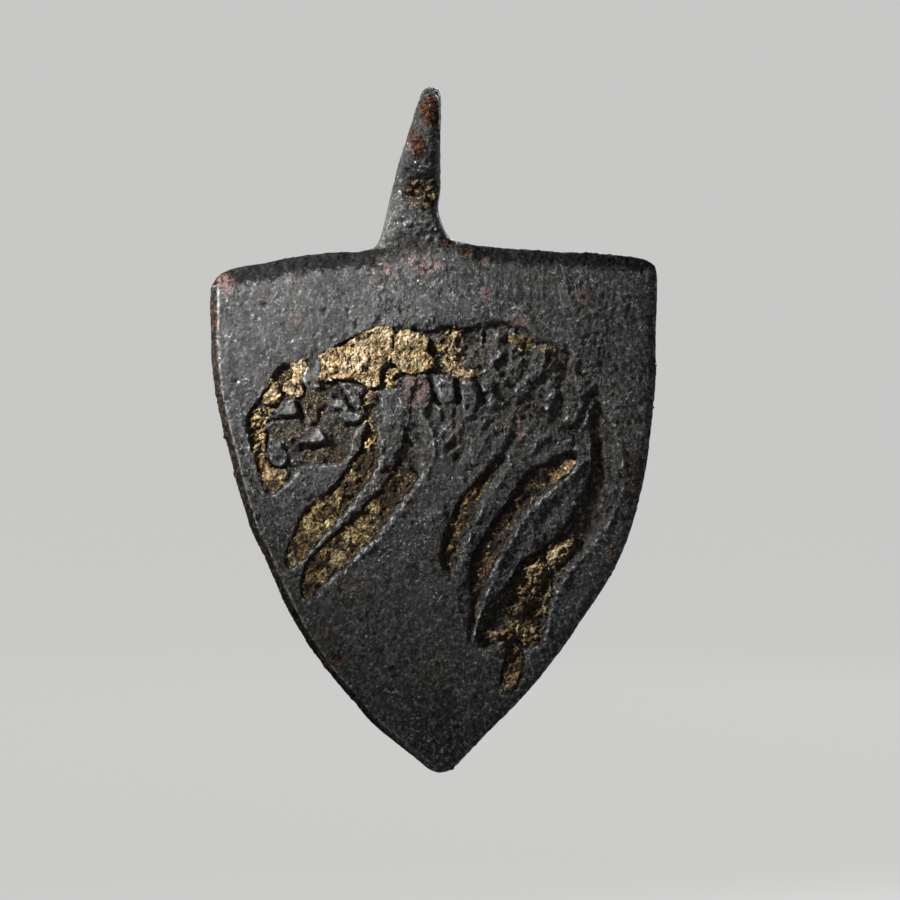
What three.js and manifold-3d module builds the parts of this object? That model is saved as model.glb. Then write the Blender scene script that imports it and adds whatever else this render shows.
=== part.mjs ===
// A medieval harness pendant: a small cast copper-alloy shield with a pierced suspension loop at its head.
// Its slightly domed front has a walking beast sunk into it, whose cells still hold patches of their old
// inlay. Millimetres, +Z up as the pendant hangs, its front facing -Y. The origin is the centre of the
// suspension hole.
import * as THREE from "three";
import { mergeVertices } from "three/addons/utils/BufferGeometryUtils.js";
import Module from "manifold-3d";

const wasm = await Module();
wasm.setup();

// Driving dimensions.
const plateWidth = 26.9;
const plateHeight = 31.5;
const rimThickness = 1.9;
const crown = 0.7; // how far the middle of the front stands ahead of its rim
const sideBevel = 0.45;
const topBevel = 0.9;
const backBevel = 0.3;
const plateOffset = 0.6; // from the hole's centre to the plate's centre line, to the right
const recessDepth = 0.7;
const shallowDepth = 0.35; // the worn middle of the body
const buffInlayDepth = 0.15; // from the front down to the top of the inlay
const brownInlayDepth = 0.4;
const inlayGap = 0.15; // between an inlay and its seat
const ringRadius = 3.3;
const holeRadius = 1.6;
const neckHeight = 3.3; // from the foot of the ring to the plate's top edge
const neckDepth = 3.0;
const plateBack = 1.2; // the plate's flat back, behind the middle of the ring
const loopRight = 1.1; // from the hole's centre to the loop's upright right side
const loopTipWidth = 1.2;
const loopRootWidth = 3.5;
const leftFlare = 1.0;
const rightFlare = 0.9;
const rootDepth = 0.9; // how far the loop's foot reaches down into the plate
const soilThickness = 0.3;
const soilHeight = 1.1;
const soilWidth = 2.1;
const cutOverrun = 1.0;

// Smoothness: the steps of the curves.
const outlineSteps = 96;
const stepsPerPoint = 2;
const arcSteps = 28;

// Sizes that follow from those above.
const plateTop = -ringRadius - neckHeight;
const rimFront = plateBack - rimThickness;
const crownFront = rimFront - crown;

const bronze = new THREE.MeshStandardMaterial({ color: 0x3b3b3d, roughness: 0.55, metalness: 0.6 });
const buffInlay = new THREE.MeshStandardMaterial({ color: 0xb39a63, roughness: 0.9, metalness: 0.05 });
const brownInlay = new THREE.MeshStandardMaterial({ color: 0x57462f, roughness: 0.95, metalness: 0.05 });

// The photograph's pixels: the plate's left and right sides, its top edge beside the loop and its tip.
// Points that are read from the photograph are turned into shares of the plate's width and height with them.
const plateLeftPixel = 209;
const plateRightPixel = 658;
const plateTopPixel = 250;
const plateTipPixel = 775;

// The plate's outline, from its left shoulder over the top edge and round the tip.
const outlinePixels = [
  [209, 318], [210, 288], [216, 273], [230, 265], [262, 259], [310, 253], [367, 250], [412, 247],
  [456, 244], [520, 247], [585, 252], [636, 256], [652, 264], [658, 282], [657, 340], [652, 415],
  [639, 495], [612, 585], [572, 657], [520, 716], [472, 760], [452, 773], [440, 775], [428, 770],
  [398, 743], [340, 685], [290, 610], [253, 535], [226, 457], [212, 385],
];
const domeCentrePixel = [434, 450];
const domeRingShares = [0.86, 0.7, 0.52, 0.34, 0.16];

// The deep cells of the beast, which faces left.
const deepCellPixels = {
  head: [
    [283, 365], [307, 360], [308, 388], [322, 389], [338, 390], [349, 406], [363, 414], [359, 440],
    [346, 460], [315, 466], [291, 480], [280, 494], [268, 495],
    [258, 478], [250, 442], [246, 417], [262, 389],
  ],
  mane: [
    [321, 354], [358, 337], [382, 328], [425, 326], [476, 323], [515, 328], [500, 354], [484, 376],
    [445, 374], [405, 375], [383, 388], [352, 387], [321, 380],
  ],
  leftForeleg: [
    [350, 393], [366, 392], [380, 415], [378, 458], [360, 492], [330, 532], [300, 562], [291, 572],
    [285, 559], [300, 518], [320, 498], [341, 477], [355, 450], [362, 424],
  ],
  rightForeleg: [
    [403, 399], [418, 410], [432, 440], [424, 473], [404, 501], [376, 540], [350, 570], [310, 603],
    [301, 592], [306, 568], [340, 529], [380, 491], [398, 455], [404, 425],
  ],
  leftHindLeg: [
    [500, 458], [506, 466], [488, 497], [468, 538], [455, 572],
    [441, 560], [447, 528], [462, 496], [486, 468],
  ],
  rightHindLeg: [
    [579, 453], [566, 473], [535, 501], [505, 545], [482, 592], [468, 640], [463, 625], [466, 577],
    [486, 530], [508, 495], [530, 467],
  ],
  tail: [
    [592, 446], [613, 442], [619, 475], [608, 514], [573, 557], [549, 600], [541, 636], [524, 653],
    [517, 686], [507, 694], [501, 686], [507, 655], [497, 645], [484, 651], [479, 624], [505, 583],
    [548, 543], [583, 497], [591, 465],
  ],
  firstRibGroove: [[433, 378], [438, 380], [439, 396], [435, 406], [431, 393]],
  secondRibGroove: [[456, 381], [461, 382], [461, 400], [458, 412], [455, 398]],
  thirdRibGroove: [[484, 380], [493, 392], [507, 402], [502, 409], [488, 402]],
};
const shallowCellPixels = [
  [505, 324], [550, 345], [582, 375], [606, 402], [618, 440], [600, 455], [586, 446], [560, 452],
  [530, 462], [505, 456], [478, 438], [440, 415], [412, 398], [395, 380], [445, 378], [486, 374],
];
const islandPixels = {
  brow: [[273, 411], [281, 402], [294, 402], [298, 411], [286, 415]],
  muzzle: [[268, 443], [274, 440], [282, 454], [281, 465], [272, 465]],
  cheek: [[320, 393], [337, 393], [350, 410], [358, 416], [346, 422], [332, 435], [327, 420], [330, 405]],
  jaw: [[300, 444], [308, 430], [319, 428], [328, 443]],
};

// What is left of the inlay, patch by patch.
const buffInlayPixels = {
  forehead_inlay: [[291, 364], [303, 363], [304, 384], [298, 397], [288, 396], [287, 385], [292, 375]],
  brow_inlay: [[268, 385], [276, 381], [280, 390], [277, 400], [268, 402], [264, 396]],
  muzzle_inlay: [[254, 414], [268, 414], [262, 430], [262, 446], [265, 461], [258, 462], [253, 443]],
  chin_inlay: [[260, 469], [272, 470], [283, 472], [279, 479], [266, 479]],
  mane_inlay: [
    [325, 354], [358, 341], [383, 332], [388, 345], [383, 362],
    [377, 372], [376, 385], [362, 383], [348, 378],
    [325, 376],
  ],
  shoulder_inlay: [[396, 334], [421, 332], [424, 350], [428, 363], [419, 370], [398, 369], [394, 353]],
  back_inlay: [[440, 332], [458, 334], [467, 352], [474, 370], [460, 373], [444, 368], [437, 352]],
  rump_inlay: [[524, 338], [537, 343], [550, 350], [546, 356], [531, 352]],
  chest_inlay: [[363, 402], [373, 404], [376, 420], [374, 443], [367, 447], [363, 432]],
  left_foreleg_inlay: [
    [322, 501], [341, 484], [357, 466], [369, 462], [362, 482],
    [345, 505], [325, 530], [303, 550], [294, 558],
    [300, 530],
  ],
  right_foreleg_inlay: [
    [372, 504], [388, 492], [400, 492], [388, 511], [370, 535],
    [345, 562], [320, 585], [308, 594], [307, 580],
    [316, 560], [343, 534],
  ],
  thigh_inlay: [[556, 469], [566, 462], [573, 459], [570, 465], [560, 474]],
  tail_inlay: [
    [554, 547], [575, 543], [566, 558], [549, 581], [537, 604], [519, 613], [510, 602], [519, 578],
  ],
  heel_inlay: [[494, 635], [512, 623], [527, 623], [535, 635], [529, 646], [515, 645]],
  tail_tip_inlay: [[512, 658], [520, 657], [519, 672], [513, 686], [507, 688], [507, 675]],
};
const brownInlayPixels = {
  left_hind_leg_inlay: [
    [484, 483], [491, 483], [478, 508], [464, 538], [456, 561], [448, 557], [454, 528], [465, 505],
  ],
  right_hind_leg_inlay: [
    [533, 471], [554, 466], [545, 483], [523, 504], [503, 534],
    [485, 568], [473, 600], [470, 580], [490, 536],
    [514, 497],
  ],
};

// Maps a point of the photograph to (x, z) on the plate's front.
function onPlate([column, row]) {
  const across = (column - plateLeftPixel) / (plateRightPixel - plateLeftPixel) - 1 / 2;
  const down = (row - plateTopPixel) / (plateTipPixel - plateTopPixel);
  return new THREE.Vector2(plateOffset + across * plateWidth, plateTop - down * plateHeight);
}

// A smooth closed line through points of the photograph, as (x, z) points on the plate.
function closedLine(pixels, steps) {
  const corners = pixels.map(onPlate).map(({ x, y }) => new THREE.Vector3(x, y, 0));
  const curve = new THREE.CatmullRomCurve3(corners, true, "centripetal");
  const points = steps ? curve.getSpacedPoints(steps) : curve.getPoints(pixels.length * stepsPerPoint);
  return points.slice(0, -1).map(({ x, y }) => new THREE.Vector2(x, y));
}

// Moves each point of a closed line outwards by the distance that `reach` gives for its outward normal.
function outset(line, reach) {
  const turn = THREE.ShapeUtils.isClockWise(line) ? 1 : -1;
  return line.map((point, i) => {
    const before = line[(i + line.length - 1) % line.length];
    const after = line[(i + 1) % line.length];
    const along = after.clone().sub(before).normalize();
    const normal = new THREE.Vector2(-along.y * turn, along.x * turn);
    return point.clone().addScaledVector(normal, reach(normal));
  });
}

// A manifold-3d solid of a closed three.js geometry.
function solidOf(geometry) {
  const bare = geometry.clone();
  bare.deleteAttribute("normal");
  bare.deleteAttribute("uv");
  const merged = mergeVertices(bare);
  const vertProperties = new Float32Array(merged.attributes.position.array);
  const triVerts = new Uint32Array(merged.index.array);
  return new wasm.Manifold(new wasm.Mesh({ numProp: 3, vertProperties, triVerts }));
}

// The three.js geometry of a solid, flat shaded.
function geometryOf(solid) {
  const { vertProperties, triVerts } = solid.getMesh();
  const geometry = new THREE.BufferGeometry();
  geometry.setAttribute("position", new THREE.BufferAttribute(new Float32Array(vertProperties), 3));
  geometry.setIndex(new THREE.BufferAttribute(new Uint32Array(triVerts), 1));
  const flat = geometry.toNonIndexed();
  flat.computeVertexNormals();
  return flat;
}

// A prism that stands on a closed (x, z) line, from `front` to `back` along Y.
function prism(line, front, back) {
  const shape = new THREE.Shape(line);
  const geometry = new THREE.ExtrudeGeometry(shape, { depth: back - front, bevelEnabled: false });
  geometry.rotateX(Math.PI / 2);
  geometry.translate(0, back, 0);
  return solidOf(geometry);
}

function union(solids) {
  return solids.reduce((whole, next) => whole.add(next));
}

// A closed solid over stacked rings of (x, z) lines at given depths, from its back to its front's middle.
function stack(rings, frontCentre) {
  const count = rings[0].line.length;
  const middle = onPlate(domeCentrePixel);
  const positions = [middle.x, rings[0].y, middle.y];
  for (const { line, y } of rings) line.forEach((point) => positions.push(point.x, y, point.y));
  positions.push(middle.x, frontCentre, middle.y);
  const last = rings.length * count + 1;
  const index = [];
  for (let i = 0; i < count; i++) {
    const next = (i + 1) % count;
    index.push(0, 1 + i, 1 + next);
    for (let ring = 0; ring < rings.length - 1; ring++) {
      const low = 1 + ring * count;
      const high = low + count;
      index.push(low + i, high + i, low + next, low + next, high + i, high + next);
    }
    index.push(last, last - count + next, last - count + i);
  }
  const geometry = new THREE.BufferGeometry();
  geometry.setAttribute("position", new THREE.Float32BufferAttribute(positions, 3));
  geometry.setIndex(index);
  return solidOf(geometry);
}

// The bevelled, domed shield, with its front lowered by a depth.
function shield(lowering) {
  const outline = closedLine(outlinePixels, outlineSteps);
  const upward = (normal) => Math.max(0, normal.y);
  const bevelAt = (normal) => sideBevel + (topBevel - sideBevel) * upward(normal);
  const arris = outset(outline, (normal) => -bevelAt(normal));
  const middle = onPlate(domeCentrePixel);
  const dome = domeRingShares.map((share) => ({
    line: arris.map((point) => middle.clone().lerp(point, share)),
    y: lowering + rimFront - crown * (1 - share * share),
  }));
  const rings = [
    { line: outset(outline, () => -backBevel), y: plateBack },
    { line: outline, y: plateBack - backBevel },
    { line: outline, y: lowering + rimFront + sideBevel },
    { line: arris, y: lowering + rimFront },
    ...dome,
  ];
  return stack(rings, lowering + crownFront);
}

// What lies between two depths below the plate's front, inside a closed line.
function layer(line, topDepth, floorDepth) {
  const column = prism(line, crownFront - cutOverrun, plateBack);
  return column.subtract(shield(floorDepth)).intersect(shield(topDepth));
}

// What is cut away inside a closed line, from ahead of the plate's front down to a depth.
function cut(line, depth) {
  return prism(line, crownFront - cutOverrun, plateBack - backBevel).subtract(shield(depth));
}

// The loop seen from the front: it tapers to its tip, leans on its left side and flares into the plate.
function loopFront() {
  const leftRoot = loopRight - loopRootWidth;
  const leftTip = loopRight - loopTipWidth;
  const foot = plateTop - rootDepth;
  const shape = new THREE.Shape();
  shape.moveTo(leftRoot - leftFlare, foot);
  shape.lineTo(leftRoot - leftFlare, plateTop);
  shape.quadraticCurveTo(leftRoot, plateTop, leftRoot + leftFlare / 3, plateTop + leftFlare);
  shape.lineTo(leftTip - loopTipWidth / 3, ringRadius - loopTipWidth);
  shape.quadraticCurveTo(leftTip, ringRadius, loopRight - loopTipWidth / 2, ringRadius);
  shape.quadraticCurveTo(loopRight, ringRadius, loopRight, ringRadius - loopTipWidth);
  shape.lineTo(loopRight, plateTop + rightFlare);
  shape.quadraticCurveTo(loopRight, plateTop, loopRight + rightFlare, plateTop);
  shape.lineTo(loopRight + rightFlare, foot);
  return shape.getPoints(arcSteps / 4);
}

// The loop seen from its side: a ring on a neck that widens again into the plate.
function loopSide() {
  const neckHalf = neckDepth / 2;
  const crease = Math.asin(neckHalf / ringRadius);
  const foot = plateTop - rootDepth;
  const shape = new THREE.Shape();
  shape.absarc(0, 0, ringRadius, -Math.PI / 2 + crease, Math.PI * 3 / 2 - crease, false);
  shape.lineTo(-neckHalf, plateTop + neckHeight / 2);
  shape.lineTo(crownFront, plateTop);
  shape.lineTo(rimFront, foot);
  shape.lineTo(plateBack, foot);
  shape.lineTo(plateBack, plateTop);
  shape.lineTo(neckHalf, plateTop + neckHeight / 2);
  const outline = shape.getPoints(arcSteps);
  const outer = new THREE.Shape(outline);
  const hole = new THREE.Path();
  hole.absarc(0, 0, holeRadius, 0, Math.PI * 2, true);
  outer.holes.push(hole);
  return outer;
}

// The side view stretched across the loop's width, trimmed to its front view.
function loopBlank() {
  const reach = loopRootWidth + leftFlare + cutOverrun;
  const options = { depth: reach * 2, curveSegments: arcSteps, bevelEnabled: false };
  const side = new THREE.ExtrudeGeometry(loopSide(), options);
  side.rotateX(Math.PI / 2);
  side.rotateZ(Math.PI / 2);
  side.translate(-reach, 0, 0);
  return solidOf(side).intersect(prism(loopFront(), -ringRadius - cutOverrun, ringRadius + cutOverrun));
}

// A wedge of soil in the crease under the ring's front.
function creaseSoil() {
  const neckFace = -neckDepth / 2 - inlayGap;
  const reach = ringRadius + inlayGap;
  const foot = -Math.sqrt(ringRadius * ringRadius - neckDepth * neckDepth / 4) - soilHeight / 2;
  const top = foot + soilHeight;
  const shape = new THREE.Shape();
  shape.moveTo(neckFace, foot);
  shape.lineTo(neckFace - soilThickness, foot);
  shape.lineTo(-Math.sqrt(reach * reach - top * top) - soilThickness, top);
  shape.lineTo(-Math.sqrt(reach * reach - top * top), top);
  shape.lineTo(neckFace, -Math.sqrt(reach * reach - neckFace * neckFace));
  const soil = new THREE.ExtrudeGeometry(shape, { depth: soilWidth, bevelEnabled: false });
  soil.rotateX(Math.PI / 2);
  soil.rotateZ(Math.PI / 2);
  soil.translate(loopRight - inlayGap - soilWidth, 0, 0);
  return solidOf(soil);
}

// The sunk beast: its deep cells and worn body, less the metal left standing, and a seat for every inlay.
function beastCuts() {
  const inlays = { ...buffInlayPixels, ...brownInlayPixels };
  const cells = Object.values(deepCellPixels).map((pixels) => cut(closedLine(pixels), recessDepth));
  const islands = Object.values(islandPixels).map((pixels) => {
    return prism(closedLine(pixels), crownFront - cutOverrun - cutOverrun, plateBack);
  });
  const seats = Object.values(inlays).map((pixels) => {
    return cut(outset(closedLine(pixels), () => inlayGap), recessDepth);
  });
  return union(cells)
    .add(cut(closedLine(shallowCellPixels), shallowDepth))
    .subtract(union(islands))
    .add(union(seats));
}

function named(name, solid, material) {
  const mesh = new THREE.Mesh(geometryOf(solid), material);
  mesh.name = name;
  return mesh;
}

const pendant = new THREE.Group();

// The casting is one piece of metal. It is divided at the loop's foot, on flat faces.
const loopFoot = plateTop - rootDepth;
const footLeft = loopRight - loopRootWidth - leftFlare;
const footRight = loopRight + rightFlare;
const footBlock = prism(
  [
    new THREE.Vector2(footLeft, loopFoot),
    new THREE.Vector2(footRight, loopFoot),
    new THREE.Vector2(footRight, ringRadius + cutOverrun),
    new THREE.Vector2(footLeft, ringRadius + cutOverrun),
  ],
  -ringRadius - cutOverrun,
  ringRadius + cutOverrun,
);
const drillLength = (loopRootWidth + cutOverrun) * 2;
const drill = new THREE.CylinderGeometry(holeRadius, holeRadius, drillLength, arcSteps * 2);
const hole = solidOf(drill.rotateZ(Math.PI / 2));
const casting = shield(0).add(loopBlank()).subtract(beastCuts()).subtract(hole);
pendant.add(named("shield_plate", casting.subtract(footBlock), bronze));
pendant.add(named("suspension_loop", casting.intersect(footBlock), bronze));

for (const [name, pixels] of Object.entries(buffInlayPixels)) {
  pendant.add(named(name, layer(closedLine(pixels), buffInlayDepth, recessDepth - inlayGap), buffInlay));
}
for (const [name, pixels] of Object.entries(brownInlayPixels)) {
  pendant.add(named(name, layer(closedLine(pixels), brownInlayDepth, recessDepth - inlayGap), brownInlay));
}
pendant.add(named("loop_crease_soil", creaseSoil(), brownInlay));

export default pendant;
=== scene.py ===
"""A medieval harness pendant: a small cast copper-alloy shield with a pierced suspension loop. A walking lion
is sunk into its front and keeps patches of its old fill. Sums are in millimetres, and meshes in metres."""

import math

import bpy
import numpy as np
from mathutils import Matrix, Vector


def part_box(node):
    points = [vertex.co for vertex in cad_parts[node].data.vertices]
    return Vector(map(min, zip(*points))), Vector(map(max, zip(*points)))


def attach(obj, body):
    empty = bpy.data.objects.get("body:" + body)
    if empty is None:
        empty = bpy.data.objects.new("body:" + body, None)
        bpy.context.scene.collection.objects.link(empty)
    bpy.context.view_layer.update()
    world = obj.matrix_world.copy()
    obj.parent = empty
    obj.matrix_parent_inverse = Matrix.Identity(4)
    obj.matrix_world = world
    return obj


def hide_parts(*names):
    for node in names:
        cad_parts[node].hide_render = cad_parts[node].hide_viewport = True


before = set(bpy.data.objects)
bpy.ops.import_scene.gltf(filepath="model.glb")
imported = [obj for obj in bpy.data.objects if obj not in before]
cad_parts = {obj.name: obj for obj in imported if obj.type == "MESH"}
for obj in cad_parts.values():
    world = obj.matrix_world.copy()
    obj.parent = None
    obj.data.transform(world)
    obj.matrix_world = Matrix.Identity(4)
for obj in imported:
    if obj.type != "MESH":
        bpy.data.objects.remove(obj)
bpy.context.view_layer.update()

MM = 0.001

# Sizes of the casting, in millimetres.
RIM_THICKNESS = 1.9
CROWN = 0.7
SIDE_BEVEL = 0.52  # width of the bevel round the front
SIDE_DROP = 0.42  # how far it falls back
TOP_BEVEL = 1.35
TOP_DROP = 0.5
BACK_BEVEL = 0.3
RING_RADIUS = 3.3
HOLE_RADIUS = 1.6
NECK_DEPTH = 3.0
FOOT_TOP = -4.8  # height where the neck starts to thin into the plate
FOOT_END = -8.6
RECESS = 0.7
PITCH = 0.085  # of the casting's mesh
FILL_PITCH = 0.05  # of the meshes of the old fill
MARGIN_STEPS = 6  # steps of empty grid round a body

# In millimetres: how far from each kind of line distances are worked out, and how widely surfaces blend.
EDGE_REACH, LOOP_REACH, CELL_REACH, LINE_REACH, FILL_REACH = 60, 12, 1.6, 1.5, 2.0
FRONT_ROUNDING, BACK_ROUNDING, FOOT_ROUNDING = 0.16, 0.14, 0.5
NECK_ROUNDING, HOLE_ROUNDING = 0.12, 0.3

# Across the front: the side on which the cells' walls are steep.
SHADED_SIDE = np.array([-0.83, 0.55])
# How the lumps in the lion's coat lean and stretch.
COAT_LEAN = np.array([[1.0, 0, 0], [0, 1, 0], [-0.45, 0, 0.6]])
# Noise in the metal's skin: size in millimetres and seed, from broad to fine.
SKIN_LAYERS = ((2.6, 41), (0.8, 42), (0.36, 43), (0.2, 44))
SWELL = 0.035  # height of the broadest layer in millimetres
# Grains of the old fill: size in millimetres and seed.
COARSE, TINY = (0.3, 53), (0.17, 60)

plate_low, plate_high = (np.array(corner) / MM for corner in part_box("shield_plate"))
loop_low, loop_high = (np.array(corner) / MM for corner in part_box("suspension_loop"))
PLATE_BACK = plate_high[1]
RIM_FRONT = PLATE_BACK - RIM_THICKNESS
CROWN_FRONT = RIM_FRONT - CROWN

# The photograph's width in pixels, and its pixels of the plate's sides, the plate's tip and the loop's tip.
PHOTO_PIXELS = 900
LEFT_PIXEL, RIGHT_PIXEL = 209, 658
LOOP_PIXEL, TIP_PIXEL = 84, 775
PIXEL_X = (plate_high[0] - plate_low[0]) / (RIGHT_PIXEL - LEFT_PIXEL)
PIXEL_Z = (loop_high[2] - plate_low[2]) / (TIP_PIXEL - LOOP_PIXEL)


def place(points):
    """Pixels of the photograph as (x, z) in millimetres."""
    columns, rows = np.asarray(points, float).T
    x = plate_low[0] + (columns - LEFT_PIXEL) * PIXEL_X
    z = plate_low[2] + (TIP_PIXEL - rows) * PIXEL_Z
    return np.stack([x, z], -1)


def pixels(x, z):
    """Columns and rows of the photograph at x and z in millimetres."""
    return LEFT_PIXEL + (x - plate_low[0]) / PIXEL_X, TIP_PIXEL - (z - plate_low[2]) / PIXEL_Z


# The studio: the paper's colour, the colour and strength of its own glow, and the strength of the even light
# and of the world where it is seen.
PAPER = (0.1, 0.1, 0.099)
GLOW_COLOUR = (1, 1, 0.99)
GLOW = 0.57
AMBIENT = 0.1
WORLD_SEEN = 0.8
# Each lamp's offset in metres from the middle of the plate, the point in millimetres that it faces, its size
# in metres, its spread in degrees and its power.
LAMPS = {
    "key": ((-0.07, -0.036, 0.048), (-13, 0, -6.5), 0.02, 25, 0.0094),
    "top": ((-0.05, -0.03, 0.05), (-1.5, 0, -1), 0.01, 12, 0.0009),
    "fill": ((0.16, -0.3, 0.05), (0, 0, -19), 0.25, 180, 0.031),
    "rear": ((0.12, 0.3, 0.12), (0, 0, -19), 0.25, 180, 0.1),
    "back": ((0.05, 0.14, 0.1), (0, 0, -19), 0.06, 34, 0.012),
}
# The fills' colours: palest grains, pale grains, warm grains, and gaps and stains.
BUFF = ((0.62, 0.52, 0.36), (0.3, 0.222, 0.125), (0.115, 0.076, 0.034), (0.018, 0.012, 0.006))
BROWN = ((0.5, 0.38, 0.2), (0.26, 0.18, 0.085), (0.07, 0.046, 0.022), (0.012, 0.008, 0.006))
BROWN_FILLS = ("left_hind_leg", "right_hind_leg")

# Places in the photograph's pixels: the dome's highest point, the smoothest part of the field and how far it
# reaches, the loop's foot and its half-width, and the filed part with its half-width and half-height.
DOME_CENTRE = (434, 450)
CALM_COLUMN, CALM_ROW, CALM_REACH = 280, 320, 200
FOOT_COLUMN, FOOT_HALF_WIDTH = 424, 47
FILED_COLUMN, FILED_ROW, FILED_HALF_WIDTH, FILED_HALF_HEIGHT = 545, 288, 60, 22
# Where the worn body fades out to the right and downwards, and over how many pixels.
BODY_END_COLUMN, BODY_FADE_COLUMNS = 650, 90
BODY_END_ROW, BODY_FADE_ROWS = 478, 80
# Where the strip down the left side starts, where the file strokes start to lean, and over how many pixels.
STRIP_ROW, STRIP_FADE_ROWS = 284, 12
LEAN_COLUMN, LEAN_FADE_COLUMNS = 520, 60
LEAN_LEVEL = -11  # height in millimetres of the file strokes' turning point

# Outlines in the photograph's pixels.
OUTLINE = [
    (209, 320), (209, 302), (210, 288), (214, 278), (220, 272), (231, 267), (245, 264), (265, 261),
    (284, 257), (310, 253), (340, 250), (367, 250), (412, 247), (456, 243), (484, 245), (525, 248),
    (575, 251), (612, 253), (636, 256), (648, 259), (655, 264), (658, 273), (658, 300), (657, 345),
    (657, 380), (652, 430), (645, 480), (632, 530), (615, 570), (590, 610), (563, 650), (525, 697),
    (485, 738), (459, 765), (449, 773), (440, 775), (431, 773), (420, 765), (397, 746), (372, 725),
    (350, 700), (330, 676), (310, 650), (292, 620), (280, 596), (271, 575), (263, 556), (250, 530),
    (235, 480), (222, 430), (214, 390), (210, 355),
]
LOOP_SILHOUETTE = [
    (425, 77), (432, 71), (439, 76), (441, 98), (441, 130), (441, 177), (440, 191), (438, 207), (441, 219),
    (446, 231), (455, 239), (470, 246), (476, 268), (440, 285), (390, 285), (356, 268), (362, 253),
    (373, 247), (380, 235), (386, 212), (391, 191), (397, 167), (404, 144), (412, 120), (419, 98),
]

# The lion's cells: depth in millimetres, usual width of the wall in millimetres, and outline.
CELLS = {
    "head": (0.42, 0.24, [
        (322, 353), (311, 357), (297, 361), (286, 363), (279, 366), (273, 373), (267, 385), (259, 397),
        (250, 409), (245, 420), (246, 430), (249, 446), (253, 458), (257, 470), (260, 484), (266, 494),
        (274, 496), (283, 489), (292, 482), (301, 471), (311, 467), (327, 465), (340, 462), (348, 457),
        (351, 448), (352, 438), (352, 428), (358, 425), (365, 419), (361, 412), (353, 404), (346, 393),
        (334, 386), (321, 386), (309, 388), (305, 372),
    ]),
    "mane": (0.5, 0.2, [
        (320, 354), (330, 349), (345, 340), (365, 331), (380, 325), (400, 326), (430, 324), (450, 321),
        (478, 319), (483, 330), (484, 348), (487, 366), (480, 375), (450, 377), (425, 376), (405, 379),
        (392, 386), (380, 394), (364, 391), (346, 387), (334, 383), (320, 382), (319, 368),
    ]),
    "left_foreleg": (0.48, 0.26, [
        (366, 388), (357, 398), (363, 410), (366, 422), (362, 434), (360, 446), (354, 457), (346, 469),
        (336, 482), (328, 490), (320, 497), (312, 503), (304, 512), (298, 521), (294, 531), (289, 541),
        (286, 551), (283, 561), (290, 572), (300, 566), (309, 556), (318, 546), (327, 536), (336, 527),
        (344, 517), (352, 507), (360, 497), (368, 487), (375, 475), (381, 463), (385, 446), (384, 426),
        (382, 406), (383, 392),
    ]),
    "shoulder_hollow": (0.36, 0.9, [
        (403, 390), (407, 410), (405, 428), (401, 445), (394, 462), (386, 478), (398, 486), (414, 486),
        (428, 472), (435, 455), (434, 438), (428, 420), (420, 404), (412, 394),
    ]),
    "right_foreleg": (0.48, 0.28, [
        (404, 424), (401, 444), (396, 459), (391, 470), (385, 481), (378, 491), (368, 500), (359, 510),
        (349, 520), (339, 529), (329, 537), (319, 547), (311, 555), (305, 564), (301, 575), (300, 589),
        (303, 601), (313, 602), (320, 594), (328, 585), (336, 577), (345, 572), (354, 562), (362, 553),
        (371, 545), (379, 538), (386, 529), (393, 520), (401, 508), (409, 497), (418, 485), (424, 472),
        (424, 458), (418, 446), (411, 434),
    ]),
    "left_hind_leg": (0.38, 0.5, [
        (507, 451), (497, 455), (489, 462), (480, 473), (470, 484), (461, 493), (455, 504), (449, 518),
        (444, 530), (440, 545), (439, 560), (442, 574), (452, 581), (460, 571), (464, 556), (468, 542),
        (474, 529), (480, 516), (485, 504), (491, 493), (498, 483), (505, 473), (512, 463),
    ]),
    "right_hind_leg": (0.42, 0.5, [
        (577, 449), (560, 452), (545, 461), (530, 467), (521, 477), (513, 489), (505, 501), (497, 512),
        (488, 526), (479, 541), (472, 552), (468, 566), (466, 582), (468, 600), (468, 618), (465, 636),
        (470, 648), (477, 632), (482, 614), (488, 596), (493, 582), (498, 568), (505, 556), (512, 543),
        (520, 530), (527, 519), (535, 508), (545, 499), (556, 490), (566, 480), (577, 470), (585, 458),
    ]),
    "tail": (0.5, 0.42, [
        (588, 412), (588, 428), (590, 445), (591, 462), (589, 475), (584, 490), (578, 503), (571, 514),
        (563, 527), (553, 538), (542, 547), (529, 555), (519, 563), (512, 575), (506, 585), (499, 593),
        (491, 601), (483, 610), (478, 624), (476, 640), (483, 652), (497, 652), (503, 647), (504, 660),
        (500, 676), (503, 691), (514, 696), (523, 684), (527, 664), (533, 652), (544, 649), (549, 632),
        (553, 614), (556, 601), (560, 589), (566, 577), (575, 567), (585, 556), (595, 544), (604, 532),
        (613, 519), (619, 506), (623, 492), (624, 476), (622, 458), (618, 440), (613, 422), (607, 404),
        (598, 398),
    ]),
}
WORN_BODY = [
    (384, 376), (420, 372), (450, 372), (484, 370), (482, 334), (494, 323), (514, 326), (535, 337),
    (556, 345), (577, 359), (592, 376), (605, 393), (615, 414), (620, 440), (612, 452), (594, 452),
    (585, 446), (562, 450), (545, 460), (525, 468), (508, 464), (488, 468), (462, 466), (446, 452),
    (434, 432), (422, 410), (408, 396), (392, 394),
]
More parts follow.
